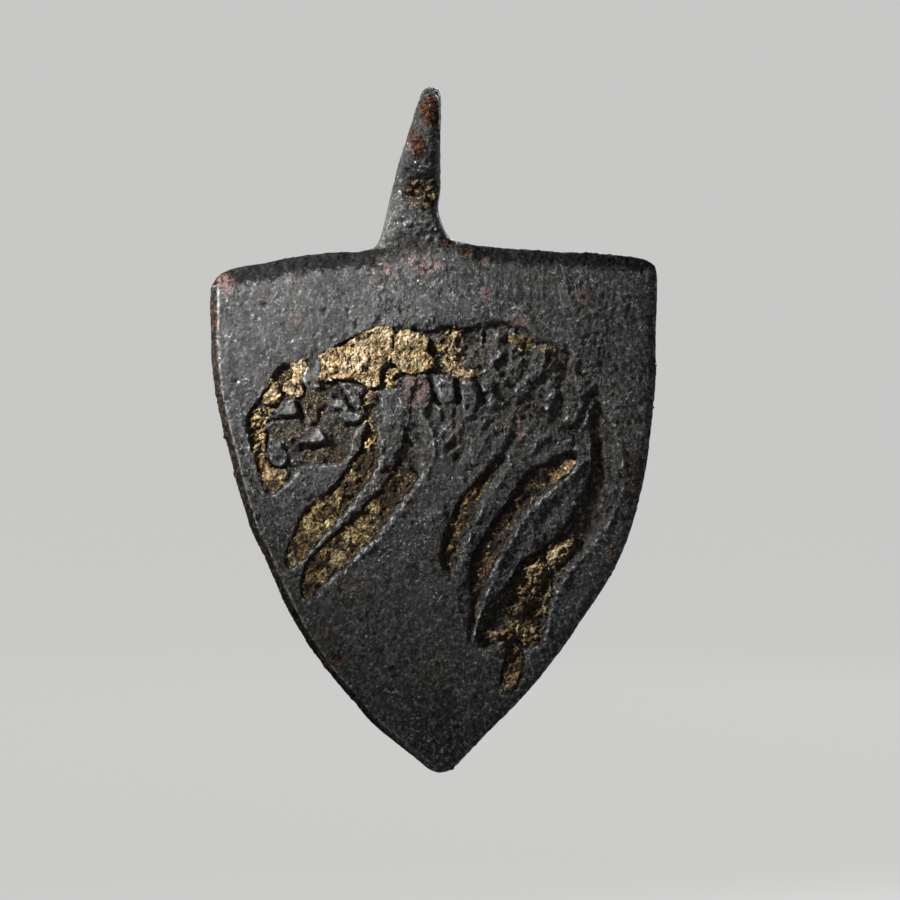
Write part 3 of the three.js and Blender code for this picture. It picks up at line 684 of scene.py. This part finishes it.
class Plate:
    """Fields of the plate over a grid of x by z, in millimetres."""

    def __init__(self):
        margin = MARGIN_STEPS * PITCH
        self.low = np.minimum(plate_low, loop_low) - margin
        self.high = np.maximum(plate_high, loop_high) + margin
        self.x = np.arange(self.low[0], self.high[0], PITCH)
        self.z = np.arange(self.low[2], self.high[2], PITCH)
        self.flat = flat_grid(self.x, self.z)
        self.ragged = 0.07 * noise(self.flat, 0.5, 11) + 0.045 * noise(self.flat, 0.22, 12)
        self.edge = traced(OUTLINE, self.x, self.z, EDGE_REACH)
        self.dome, self.rim, self.strip = self.bevelled_dome()
        self.depth = self.relief()
        self.front = self.dome + self.depth

    def bevelled_dome(self):
        """The y of the front before the lion is sunk into it, as a low dome in a bevelled rim, and how far
        out in the bevel each place lies: at the top and left most, and at the left alone."""
        centre = place([DOME_CENTRE])[0]
        outline = smooth_line(place(OUTLINE)) - centre
        angle = np.arctan2(outline[:, 1], outline[:, 0])
        order = np.argsort(angle)
        radius = np.hypot(*outline.T)[order] - SIDE_BEVEL
        across, up = self.x[:, None] - centre[0], self.z[None, :] - centre[1]
        reach = np.interp(np.arctan2(up, across), angle[order], radius, period=2 * math.pi)
        share = np.clip(np.hypot(across, up) / reach, 0, 1)
        top = np.clip(np.gradient(self.edge, PITCH, axis=1), 0, 1) ** 2
        left = np.clip(-np.gradient(self.edge, PITCH, axis=0), 0, 1) ** 2
        bevel = SIDE_BEVEL + (TOP_BEVEL - SIDE_BEVEL) * top * np.clip(1.1 - 0.025 * across, 0.6, 1.2)
        bevel = bevel * (1 + 0.16 * noise(self.flat, 1.4, 13))
        out = np.clip(1 + self.edge / bevel, 0, 1.4)
        drop = SIDE_DROP + (TOP_DROP - SIDE_DROP) * top
        dome = RIM_FRONT - CROWN * (1 - share**2) + drop * out**1.25
        return dome, out * np.clip(0.25 + top + left, 0, 1), out * left

    def relief(self):
        """How deep the front lies below its dome at each place."""
        x, z = self.x, self.z
        columns, rows = pixels(x[:, None], z[None, :])
        coat = self.flat @ COAT_LEAN
        lumps = 0.15 * noise(coat, 0.85, 21) + 0.1 * noise(coat, 0.4, 22) + 0.04 * noise(coat, 0.22, 24)
        bent = coat + 0.15 * np.stack([noise(self.flat, 0.5, 25), lumps * 0, noise(self.flat, 0.5, 26)], -1)
        chips = blurred(grains(bent.reshape(-1, 3), 0.6, 23)[1].reshape(lumps.shape) - 0.5, 0.9)
        worn = filled(traced(WORN_BODY, x, z) + self.ragged, 0.5)
        fall = np.clip((BODY_END_ROW - rows) / BODY_FADE_ROWS, 0, 1)
        fall = fall * np.clip((BODY_END_COLUMN - columns) / BODY_FADE_COLUMNS, 0.3, 1)
        depth = worn * (0.22 * fall + lumps * 0.85 + 0.3 * chips)
        for deep, wall, outline in CELLS.values():
            away = traced(outline, x, z, CELL_REACH)
            tilt = np.clip(np.stack(np.gradient(blurred(away, 3.0), PITCH), -1) @ SHADED_SIDE, -1, 1)
            width = wall * (1 - 0.6 * tilt)
            away = away + self.ragged * (1 - 0.3 * tilt)
            cell = filled(away + width / 2, width)
            shoulder = 0.1 * np.clip(tilt, 0, 1) * np.exp(-np.clip(away, 0, None) / 0.45) * (away > -0.1)
            depth = np.maximum(depth + shoulder * (1 - cell), cell * (deep + 0.5 * lumps + 0.22 * chips))
        for deep, right, up, outline in ISLANDS.values():
            middle = place(outline).mean(0)
            slope = (x[:, None] - middle[0]) * right + (z[None, :] - middle[1]) * up
            island = filled(traced(outline, x, z) + self.ragged * 0.7, 0.17)
            uneven = (lumps * 0.3 + chips * 0.16) * (0.5 + 2 * max(deep, 0))
            depth = depth * (1 - island) + island * (deep + slope + uneven)
        for deep, width, line in GROOVES.values():
            depth = depth + deep * self.band(line, width) * np.clip(1.2 - depth / RECESS, 0, 1)
        rise = 0.6 + noise(self.flat, 0.38, 31)
        for height, width, line in RIDGES.values():
            depth = depth - height * self.band(line, width) * rise
        return depth

    def band(self, line, width):
        """1 on an open line, and less on both sides of it."""
        away = traced(line, self.x, self.z, closed=False) + self.ragged * 0.6
        return np.exp(-((away / width) ** 2))

    def loop(self, y, i, k):
        """The loop as a field over columns i, all of y and rows k: a pierced ring on a neck that spreads into
        the plate, as wide as its outline in the front view."""
        silhouette = traced(LOOP_SILHOUETTE, self.x[i], self.z[k], LOOP_REACH)[:, None, :]
        level, up = y[None, :, None], self.z[k][None, None, :]
        out = np.hypot(level, up)
        sunk = eased((FOOT_TOP - up) / (FOOT_TOP - FOOT_END))
        front = -NECK_DEPTH / 2 * (1 - sunk) + (self.dome[i, None, k] + 0.05) * sunk
        back = NECK_DEPTH / 2 * (1 - sunk) + (PLATE_BACK - 0.05) * sunk
        neck = np.maximum(np.maximum(front - level, level - back), up)
        body = smooth_min(out - RING_RADIUS, neck, NECK_ROUNDING)
        body = smooth_max(body, HOLE_RADIUS - out, HOLE_ROUNDING)
        return smooth_max(silhouette, body, 1.1 - 0.5 * np.clip((up - 1.0) / 1.6, 0, 1))

    def solid(self):
        """The casting as a field over x, y and z, negative in the metal, and the field's lowest corner."""
        y = np.arange(self.low[1], self.high[1], PITCH)
        front, edge = self.front[:, None, :], self.edge[:, None, :]
        level = y[None, :, None]
        back = PLATE_BACK - BACK_BEVEL * np.clip(1 + edge / BACK_BEVEL, 0, 1)
        field = smooth_max(edge, front - level, FRONT_ROUNDING)
        field = smooth_max(field, level - back, BACK_ROUNDING).astype(np.float32)
        k = slice(np.searchsorted(self.z, FOOT_END - 1), None)
        i = slice(*np.searchsorted(self.x, [loop_low[0] - 2.5, loop_high[0] + 2.5]))
        field[i, :, k] = smooth_min(field[i, :, k], self.loop(y, i, k), FOOT_ROUNDING)
        return field, np.array([self.low[0], y[0], self.low[2]])

    def at(self, points, field):
        """A field of the plate's grid, read between its nodes at points (x, y, z)."""
        x, z = self.x, self.z
        i = np.clip((points[:, 0] - x[0]) / (x[1] - x[0]), 0, len(x) - 1.001)
        k = np.clip((points[:, 2] - z[0]) / (z[1] - z[0]), 0, len(z) - 1.001)
        i0, k0 = i.astype(int), k.astype(int)
        di, dk = i - i0, k - k0
        near = field[i0, k0] * (1 - dk) + field[i0, k0 + 1] * dk
        far = field[i0 + 1, k0] * (1 - dk) + field[i0 + 1, k0 + 1] * dk
        return near * (1 - di) + far * di

    def standing(self, points, steps):
        """How far the front stands out at points from its own mean over some grid steps round them."""
        return self.at(points, blurred(self.depth, steps) - self.depth)


def skin(points, rough):
    """The uneven skin of the metal, in millimetres: its broad swells, and all that is finer."""
    broad, middle, small, fine = (noise(points, size, seed) for size, seed in SKIN_LAYERS)
    creases = 0.45 - np.abs(noise(points, 0.42, 48))
    pits = np.clip(noise(points, 0.42, 45) - 0.45, 0, 1)
    centre_away, own = grains(points, 0.34, 47)
    knobs = np.clip(0.5 - centre_away, 0, 1) * own**3 * np.clip(0.6 + broad, 0.2, 1.5)
    scales = grains(points + 0.1 * np.stack([small, fine, middle], -1), 0.5, 61)[1] - 0.5
    lift = 0.024 * middle + 0.034 * small + 0.036 * fine + 0.025 * creases + 0.24 * knobs + 0.04 * scales
    return SWELL * broad, rough * lift - 0.24 * pits


def casting(plate, material):
    """The plate and its loop, as one body of metal."""
    points, faces = surface(*plate.solid(), PITCH)
    normals = normals_of(points, faces)
    facing, behind = np.clip(-normals[:, 1], 0, 1), np.clip(normals[:, 1], 0, 1)
    columns, rows = pixels(points[:, 0], points[:, 2])
    on_plate = plate.at(points, plate.edge) < 0.1
    on_front = on_plate * (normals[:, 1] < 0.2)
    depth = plate.at(points, plate.depth)
    sunk = np.clip(depth / 0.3, 0, 1) * facing * on_plate
    calm_and_lit = np.clip(1.25 - np.hypot(columns - CALM_COLUMN, rows - CALM_ROW) / CALM_REACH, 0, 1) * (1 - sunk)
    foot = np.exp(-(((columns - FOOT_COLUMN) / FOOT_HALF_WIDTH) ** 4))
    rim = plate.at(points, plate.rim) * on_front * (1 - foot)
    rough = 1.2 - 0.85 * calm_and_lit + 0.2 * sunk + 1.2 * rim + patches(points, ROUGH_PATCHES)
    rough = rough * (0.3 + 0.7 * np.maximum(facing, behind))
    rough = rough * np.clip(1 + 0.9 * noise(points, 1.6, 63), 0.35, 1.8)
    away = ((columns - FILED_COLUMN) / FILED_HALF_WIDTH) ** 2 + ((rows - FILED_ROW) / FILED_HALF_HEIGHT) ** 2
    filed = np.exp(-away) * facing * (1 - sunk) * np.clip(1 - 1.5 * rim, 0, 1)
    filed = filed * np.clip(0.5 + 1.2 * noise(points, (0.5, 0.5, 1.6), 62), 0, 1)
    lean = 0.35 * (points[:, 2] - LEAN_LEVEL) * np.clip((columns - LEAN_COLUMN) / LEAN_FADE_COLUMNS, 0, 1)
    slant = points[:, 0] + lean
    below_corner = on_front * np.clip((rows - STRIP_ROW) / STRIP_FADE_ROWS, 0, 1)
    swell, lift = skin(points, rough)
    points = points + normals * (swell + lift - 0.02)[:, None]
    attributes = {
        "ridge": np.clip(plate.standing(points, 0.35 / PITCH) / 0.18, -1, 1) * facing,
        "crest": np.clip(plate.standing(points, 0.14 / PITCH) / 0.05, -1, 1) * facing,
        "lit": np.clip(0.05 + 2.5 * (normals[:, [0, 2]] @ SHADED_SIDE), 0, 1),
        "depth": np.clip(depth, 0, 1) * facing * on_plate,
        "height": np.clip(0.5 + 9 * lift, 0, 1),
        "rim": rim,
        "strip": plate.at(points, plate.strip) * below_corner,
        "filed": filed,
        "slant": slant + 0.1 * noise(points, 1.0, 49),
        "pink": patches(points, PINK_PATCHES) * facing,
        "rust": patches(points, RUST_PATCHES) * (0.35 + 0.65 * facing),
        "soil": patches(points, SOIL_PATCHES) * facing,
        "bare": patches(points, BARE_PATCHES) * facing,
        "calm_and_lit": calm_and_lit,
        "behind": behind,
    }
    piece_of("casting", points, faces, attributes, material, "bronze", "shield_plate", "suspension_loop")


def fill_patch(plate, name, material, slot):
    """One remnant of the old fill: a granular crust that lies on the floor of its cell."""
    thick, least, pale, broken, outline = FILLS[name]
    line = smooth_line(place(outline))
    (x_low, z_low), (x_high, z_high) = line.min(0) - 0.5, line.max(0) + 0.5
    x, z = np.arange(x_low, x_high, FILL_PITCH), np.arange(z_low, z_high, FILL_PITCH)
    flat = flat_grid(x, z)
    spots = flat.reshape(-1, 3)
    shape = flat.shape[:2]
    clump = grains(spots + 0.1 * noise(spots, 0.3, 66)[:, None], 0.42, 65)[1].reshape(shape) - 0.5
    ragged = (0.04 + 0.1 * broken) * (noise(flat, 0.4, 51) + 1.4 * noise(flat, 0.18, 52))
    edge = distance(line, x, z, FILL_REACH) + ragged + 0.16 * clump
    grain = (0.07 * (0.6 - grains(spots, *COARSE)[0]) + 0.05 * (0.6 - grains(spots, *TINY)[0])).reshape(shape)
    swell = (0.07 + 0.05 * broken) * (noise(flat, 0.6, 54) + noise(flat, 0.32, 64)) + 0.07 * clump
    crumbs = noise(flat, 0.8, 55) + 0.8 * noise(flat, 0.3, 56) + 0.5 * noise(flat, 0.16, 59)
    crumbs = crumbs + 2 * patches(spots, PALE_SPOTS).reshape(shape)
    cover = thick * filled(edge + 0.03, 0.14) * np.clip(1 + broken * (crumbs - 1), -0.3, 1.4) - 0.03
    dome, metal = (plate.at(spots, field).reshape(shape) for field in (plate.dome, plate.front))
    top = smooth_max(metal - cover, dome + least + swell, 0.1) - grain
    floor = metal + 0.08
    y = np.arange(dome.min() - 0.3, floor.max() + 0.2, FILL_PITCH)
    level = y[None, :, None]
    field = smooth_max(top[:, None, :] - level, level - floor[:, None, :], 0.04)
    field = capped(np.maximum(field, edge[:, None, :]))
    points, faces = surface(field, np.array([x[0], y[0], z[0]]), FILL_PITCH)
    grainy(name + "_crust", points, faces, pale, material, slot, name + "_inlay")


def grainy(name, points, faces, pale, material, slot, node):
    """A crust, with the numbers that colour its grains."""
    coarse, own = grains(points, *COARSE)
    tiny, own_tiny = grains(points, *TINY)
    tone = pale + patches(points, PALE_SPOTS) + 0.13 * noise(points, 1.1, 57) + 0.2 * noise(points, 0.45, 58)
    attributes = {
        "grain": np.clip(1.15 - 0.7 * coarse - 0.55 * tiny, 0, 1),
        "shade": 0.45 * own + 0.55 * own_tiny,
        "pale": np.clip(tone, 0, 1),
        "olive": patches(points, OLIVE_PATCHES),
    }
    piece_of(name, points, faces, attributes, material, slot, node)


def crease_soil(material):
    """The soil packed under the front of the ring: a lumpy wedge that thins downwards and to the left."""
    low, high = (np.array(corner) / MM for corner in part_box("loop_crease_soil"))
    margin = MARGIN_STEPS * FILL_PITCH
    axes = [np.arange(start - margin, end + margin, FILL_PITCH) for start, end in zip(low, high)]
    grid = np.stack(np.meshgrid(*axes, indexing="ij"), -1)
    x, y, z = np.moveaxis(grid, -1, 0)
    lumps = 0.22 * (0.6 - grains(grid.reshape(-1, 3), 0.32, 71)[0]).reshape(x.shape)
    crease = -math.sqrt(RING_RADIUS**2 - (NECK_DEPTH / 2) ** 2)
    width = high[0] - low[0]
    share = (x - low[0]) / width
    foot, top = crease - 0.28 - 0.45 * share, crease + 0.4 + 0.2 * share
    away = smooth_max(0.82 * (-NECK_DEPTH / 2 - y - 0.7 * (z - foot)), z - top, 0.2)
    ends = np.abs(x - (low[0] + high[0]) / 2 + 0.08) - width / 2 + 0.04
    field = capped(smooth_max(away, ends, 0.3) - lumps - 0.16 * noise(grid, 0.6, 72))
    points, faces = surface(field, np.array([axis[0] for axis in axes]), FILL_PITCH)
    grainy("crease_soil", points, faces, 0.18, material, "brown_fill", "loop_crease_soil")


class Nodes:
    """The node tree of a material or world, built by short calls. An input is given a number, a colour, a
    socket or the name of an attribute."""

    def __init__(self, owner):
        owner.use_nodes = True
        self.owner, self.tree = owner, owner.node_tree
        self.place = self.add("ShaderNodeTexCoord").outputs["Object"]
        self.colour = self.normal = None

    def add(self, kind, inputs=(), **settings):
        node = self.tree.nodes.new(kind)
        for key, value in settings.items():
            setattr(node, key, value)
        for key, value in dict(inputs).items():
            self.give(node.inputs[key], value)
        return node

    def give(self, socket, value):
        if isinstance(value, str):
            value = self.add("ShaderNodeAttribute", attribute_name=value).outputs["Fac"]
        if isinstance(value, bpy.types.NodeSocket):
            self.tree.links.new(value, socket)
        elif socket.type == "RGBA":
            socket.default_value = (*value, 1)
        else:
            socket.default_value = value

    def noise(self, size, detail=4.0, roughness=0.6, stretch=None):
        """Noise with features of a size in millimetres."""
        place = self.place
        if stretch:
            place = self.add("ShaderNodeMapping", {"Vector": place, "Scale": stretch}).outputs[0]
        inputs = {"Vector": place, "Scale": 1 / (size * MM), "Detail": detail, "Roughness": roughness}
        return self.add("ShaderNodeTexNoise", inputs).outputs["Fac"]

    def grains(self, size):
        """Distance from the middles of grains of a size in millimetres."""
        return self.add("ShaderNodeTexVoronoi", {"Vector": self.place, "Scale": 1 / (size * MM)}).outputs[0]

    def ramp(self, value, low, high, to_low=0.0, to_high=1.0):
        inputs = {"Value": value, "From Min": low, "From Max": high, "To Min": to_low, "To Max": to_high}
        return self.add("ShaderNodeMapRange", inputs, interpolation_type="SMOOTHSTEP").outputs[0]

    def math(self, operation, first, *rest):
        for value in rest:
            first = self.add("ShaderNodeMath", {0: first, 1: value}, operation=operation).outputs[0]
        return first

    def plus(self, *values):
        return self.math("ADD", *values)

    def times(self, *values):
        return self.math("MULTIPLY", *values)

    def most(self, *values):
        return self.math("MAXIMUM", *values)

    def mix(self, share, a, b, blend="MIX"):
        inputs = {0: share, 6: a, 7: b}
        return self.add("ShaderNodeMix", inputs, data_type="RGBA", blend_type=blend).outputs[2]

    def mottled(self, size, low, high, dark, pale):
        """A colour that goes from dark to pale with rough noise."""
        return self.mix(self.ramp(self.noise(size, 5.0, 0.7), low, high), dark, pale)

    def paint(self, colour, share, strength=1.0, blend="MIX"):
        """Lays a colour over the colour so far."""
        self.colour = self.mix(self.times(share, strength), self.colour, colour, blend)

    def bump(self, height, depth):
        """Adds a bump of a height from 0 to 1 that stands for a depth in millimetres."""
        inputs = {"Height": height, "Distance": depth * MM, "Strength": 1.0}
        if self.normal:
            inputs["Normal"] = self.normal
        self.normal = self.add("ShaderNodeBump", inputs).outputs[0]

    def finish(self, **inputs):
        for key, value in inputs.items():
            self.give(self.tree.nodes["Principled BSDF"].inputs[key.replace("_", " ")], value)
        return self.owner


def patina():
    """Dark grey patina with brown hollows, worn ridges, reddish patches, soil, and painted light and shade.
    """
    n = Nodes(bpy.data.materials.new("patina"))
    mottle = n.times(n.plus(n.noise(1.4), n.noise(0.4, 4.0, 0.7, (1, 1, 0.6))), 0.5)
    # Lighter round the smooth upper left and darker away from it, painted fall of light, and lighter on bare
    # facets.
    mottle = n.plus(mottle, n.ramp("calm_and_lit", 0.0, 1.0, -0.09, 0.04), n.ramp("bare", 0.0, 1.0, 0.0, 0.11))
    mottle = n.plus(mottle, n.ramp(n.noise(0.12, 2.0), 0.3, 0.7, -0.08, 0.08))
    n.colour = n.mix(n.ramp(mottle, 0.34, 0.66), (0.019, 0.0186, 0.018), (0.062, 0.061, 0.0595))
    n.paint((0.045, 0.036, 0.03), n.ramp(n.noise(4.5, 2.0), 0.5, 0.75, 0.0, 0.4))

    # Brown hollows; the dark rim, dark patina with painted shade; painted shade in pits and low spots.
    earthy = n.most(n.math("SUBTRACT", n.ramp("depth", 0.2, 0.42), "bare"), 0.0)
    n.paint(n.mottled(0.35, 0.42, 0.66, (0.016, 0.013, 0.009), (0.075, 0.056, 0.034)), earthy, 0.8)
    # The rim's bevel is painted nearly black: partly its dark patina, partly painted shade.
    edge = n.plus("rim", n.ramp(n.noise(0.3, 5.0, 0.7), 0.3, 0.7, -0.22, 0.22))
    edge = n.times(n.ramp(edge, 0.05, 0.45), n.ramp("rim", 0.0, 0.15))
    n.paint((0.0045, 0.0042, 0.004), edge, 0.93)
    # Low spots and pits in the skin are painted darker: painted shade.
    n.paint((0.011, 0.0095, 0.008), n.ramp("height", 0.42, 0.12), 0.7)

    # Painted shade in crevices; worn ridges, crests and glints with painted highlights, weaker on the dark
    # rim.
    plain = n.math("SUBTRACT", 1.0, edge)
    # Paler worn metal on ridges, much stronger on the side that faces the lamp: wear with painted highlight.
    worn = n.times(n.ramp("ridge", 0.15, 0.7), n.ramp(n.noise(0.25), 0.42, 0.6))
    worn = n.times(worn, n.ramp("lit", 0.0, 0.5, 0.2, 1.0), n.ramp(plain, 0.0, 1.0, 0.3, 1.0))
    n.paint((0.17, 0.168, 0.165), worn, 0.62)
    # Places lower than the metal round them are painted darker: painted shade in crevices.
    n.paint((0.007, 0.006, 0.005), n.ramp("crest", -0.15, -0.8), 0.6)
    # Pale lines on crests that face the lamp: painted highlight.
    crest = n.times(n.ramp("crest", 0.4, 0.9), "lit", plain, n.ramp(n.noise(0.25, 3.0), 0.46, 0.6))
    n.paint((0.42, 0.418, 0.41), crest, 0.8)
    clusters = n.ramp(n.noise(1.0, 2.0), 0.46, 0.66, 0.03, 0.85)
    glints = n.times(n.ramp(n.noise(0.13, 1.0), 0.64, 0.72), clusters)
    n.paint((0.5, 0.5, 0.49), n.times(glints, plain, n.ramp("calm_and_lit", 0.3, 0.9, 1.0, 0.45)), 0.85)

    # Pink and rusty corrosion, and soil.
    broken = n.ramp(n.noise(0.4, 5.0, 0.7), 0.36, 0.6)
    pink = n.mix(n.ramp(n.noise(0.2), 0.4, 0.62), (0.055, 0.031, 0.027), (0.17, 0.1, 0.088))
    n.paint(pink, n.ramp(n.times("pink", broken), 0.05, 0.5, 0.0, 0.85))
    rust = n.mix(n.ramp(n.noise(0.22, 4.0, 0.7), 0.46, 0.7), (0.02, 0.0068, 0.0035), (0.17, 0.064, 0.03))
    rusty = n.ramp(n.plus("rust", n.ramp(broken, 0.0, 1.0, -0.55, 0.0)), 0.05, 0.4, 0.0, 0.94)
    n.paint(rust, rusty)
    earth = n.mix(n.ramp(n.noise(0.13, 3.0, 0.6), 0.5, 0.66), (0.03, 0.021, 0.012), (0.27, 0.195, 0.1))
    soil = n.times("soil", n.ramp("bare", 0.2, 0.9, 1.0, 0.2), n.ramp(n.noise(0.3, 4.0, 0.7), 0.35, 0.58))
    soil = n.ramp(soil, 0.08, 0.5)
    n.paint(earth, soil)

    # Dust on the back, the brown strip down the left side, and its pale inner line: wear and painted
    # highlight.
    back = n.times(n.ramp("behind", 0.3, 0.8), n.ramp(n.noise(3.2, 7.0, 0.68), 0.47, 0.57))
    n.paint(n.mottled(0.3, 0.4, 0.66, (0.034, 0.026, 0.018), (0.125, 0.1, 0.068)), back, 0.75)
    side = n.times(n.ramp("strip", 0.04, 0.4), n.ramp(n.noise(0.35, 4.0, 0.7), 0.3, 0.5))
    flank = n.mix(n.ramp(n.noise(0.26, 4.0, 0.7), 0.44, 0.68), (0.009, 0.007, 0.0055), (0.06, 0.044, 0.032))
    n.paint(flank, side, 0.92)
    # The pale line along the inner edge of the strip: painted highlight on the arris, with wear.
    inner = n.times(n.ramp("strip", 0.0, 0.06), n.ramp("strip", 0.2, 0.08))
    inner = n.times(inner, n.ramp(n.noise(0.4, 3.0), 0.42, 0.56))
    n.paint((0.22, 0.218, 0.21), inner, 0.75)

    # Gloss in patches, but little on soil, rust, the rim, the left side and the back.
    shiny = n.times(n.ramp(n.noise(0.26, 3.0), 0.5, 0.64), n.ramp("bare", 0.0, 1.0, 1.0, 0.25))
    matt = n.most(soil, rusty, side, edge, back, n.ramp("behind", 0.3, 0.9, 0.0, 0.6))
    rough = n.most(n.ramp(shiny, 0.0, 1.0, 0.5, 0.3), n.times(matt, 0.8))
    specular = n.times(n.ramp(shiny, 0.0, 1.0, 0.2, 0.9), n.ramp(matt, 0.0, 1.0, 1.0, 0.3))

    # Waves, flakes, grit and fine grain, all weaker in the calm part, and then file strokes.
    lively = n.ramp("calm_and_lit", 0.1, 0.9, 1.0, 0.2)
    waves = n.times(n.noise(0.6, 4.0, 0.6), n.ramp(n.noise(1.8, 1.0), 0.38, 0.62, 0.4, 1.0))
    n.bump(n.times(waves, n.ramp(lively, 0.0, 1.0, 0.25, 1.0)), 0.36)
    n.bump(n.times(n.ramp(n.noise(0.45, 5.0, 0.65), 0.46, 0.53), lively), 0.06)
    grit = n.times(n.ramp(n.grains(0.26), 0.45, 0.05), n.ramp(n.noise(0.7, 2.0), 0.46, 0.64, 0.05, 1.0))
    n.bump(n.times(grit, n.ramp(lively, 0.0, 1.0, 0.3, 1.0)), 0.1)
    n.bump(n.times(n.noise(0.16, 3.0, 0.65, (1, 1, 0.7)), lively), 0.22)
    strokes = {"W": "slant", "Scale": 1 / 0.24, "Detail": 1.0, "Roughness": 0.4}
    strokes = n.add("ShaderNodeTexNoise", strokes, noise_dimensions="1D").outputs["Fac"]
    n.bump(n.times(strokes, "filed"), 0.22)
    gloss = {"Roughness": rough, "Specular_IOR_Level": specular, "Metallic": 0.1}
    return n.finish(Base_Color=n.colour, Normal=n.normal, **gloss)


def crust(name, palest, pale, warm, deep):
    """A granular fill: pale grains, warmer ones among them, dark gaps of painted shade, and stains."""
    n = Nodes(bpy.data.materials.new(name))
    tone = n.plus("pale", n.ramp(n.noise(0.5, 6.0, 0.78), 0.32, 0.68, -0.42, 0.42))
    tone = n.plus(tone, n.ramp("shade", 0.2, 0.8, -0.1, 0.1))
    tone = n.plus(tone, n.ramp(n.noise(0.12, 2.0), 0.36, 0.64, -0.2, 0.2))
    n.colour = n.mix(n.ramp(tone, 0.15, 0.45), deep, warm)
    n.paint(pale, n.ramp(tone, 0.45, 0.8))
    n.paint(palest, n.ramp(tone, 0.85, 1.2))
    # Darker between the grains, which is painted shade, and in scattered dark specks.
    n.paint(deep, n.most(n.ramp("grain", 0.45, 0.2), n.ramp(n.noise(0.22, 4.0, 0.7), 0.42, 0.34)), 0.6)
    n.paint((1.0, 0.84, 0.64), n.ramp(n.noise(1.2, 3.0), 0.46, 0.6), 0.7, "MULTIPLY")
    n.paint((0.95, 1.0, 0.62), "olive", 0.65, "MULTIPLY")
    specks = n.times(n.ramp(n.noise(0.18, 2.0), 0.57, 0.66), n.ramp(tone, 0.1, 0.6))
    n.paint(palest, n.times(specks, n.ramp(n.noise(0.7, 2.0), 0.42, 0.6, 0.15, 1.0)), 0.85)
    n.bump(n.ramp(n.grains(0.15), 0.7, 0.1), 0.05)
    n.bump(n.noise(0.1, 3.0, 0.65), 0.06)
    return n.finish(Base_Color=n.colour, Normal=n.normal, Roughness=0.9, Specular_IOR_Level=0.25)


def seen_directly(n, otherwise, seen):
    """A strength for what the camera, glossy rays and rays through glass see, and another for other light."""
    path = n.add("ShaderNodeLightPath").outputs
    direct = n.most(path["Is Camera Ray"], path["Is Glossy Ray"], path["Is Transmission Ray"])
    return n.add("ShaderNodeMapRange", {"Value": direct, "To Min": otherwise, "To Max": seen}).outputs[0]


def paper_sweep():
    """A pale floor, in metres, that sweeps up all round."""
    floor_gap, flat_radius, sweep, rise, sides, steps = 0.012, 0.35, 0.3, 0.5, 96, 16
    floor_level = plate_low[2] * MM - floor_gap
    profile = [(0.0, 0.0), (flat_radius / 2, 0.0)]
    for step in range(steps + 1):
        turn = math.pi / 2 * step / steps
        profile.append((flat_radius + sweep * math.sin(turn), sweep * (1 - math.cos(turn))))
    profile.append((flat_radius + sweep, sweep + rise))
    points, faces = [], []
    for ring, (radius, up) in enumerate(profile):
        for side in range(sides):
            turn = 2 * math.pi * side / sides
            points.append((radius * math.cos(turn), radius * math.sin(turn), floor_level + up))
            if ring:
                a, b = (ring - 1) * sides, (side + 1) % sides
                faces.append((a + side, a + b, a + sides + b, a + sides + side))
    n = Nodes(bpy.data.materials.new("studio_paper"))
    glow = {"Emission_Color": GLOW_COLOUR, "Emission_Strength": seen_directly(n, 0.0, GLOW)}
    paper = n.finish(Base_Color=PAPER, Roughness=0.9, Specular_IOR_Level=0.1, **glow)
    sweep_object = new_object("studio_sweep", smooth_mesh("studio_sweep", points, faces, paper))


def lighting():
    """Soft lamps and an even world."""
    world = bpy.data.worlds.new("studio_world")
    bpy.context.scene.world = world
    n = Nodes(world)
    background = n.tree.nodes["Background"].inputs
    n.give(background["Color"], (1, 1, 1))
    n.give(background["Strength"], seen_directly(n, AMBIENT, WORLD_SEEN))
    middle = Vector((0, 0, plate_low[2] / 2)) * MM
    for name, (offset, faced, size, spread, power) in LAMPS.items():
        light = bpy.data.lights.new(name, "AREA")
        light.size, light.energy, light.spread = size, power, math.radians(spread)
        lamp = new_object(name, light)
        lamp.location = middle + Vector(offset)
        lamp.rotation_mode = "QUATERNION"
        lamp.rotation_quaternion = (Vector(faced) * MM - lamp.location).to_track_quat("-Z", "Y")
        lamp.visible_camera = False


def camera():
    """The camera, square on to the front, with the photograph's framing."""
    middle = place([(PHOTO_PIXELS / 2, PHOTO_PIXELS / 2)])[0] * MM
    data = bpy.data.cameras.new("camera")
    data.lens, data.sensor_width = 180, 36
    data.clip_start, data.clip_end = 0.01, 10
    away = PHOTO_PIXELS * PIXEL_X * MM * data.lens / data.sensor_width
    view = new_object("camera", data)
    view.location = (middle[0], CROWN_FRONT * MM - away, middle[1])
    view.rotation_euler = (math.pi / 2, 0, 0)
    bpy.context.scene.camera = view
    bpy.context.scene.view_settings.view_transform = "Standard"


camera()
paper_sweep()
lighting()
plate = Plate()
casting(plate, patina())
buff, brown = crust("buff_crust", *BUFF), crust("brown_crust", *BROWN)
for name in FILLS:
    if name in BROWN_FILLS:
        fill_patch(plate, name, brown, "brown_fill")
    else:
        fill_patch(plate, name, buff, "buff_fill")
crease_soil(brown)
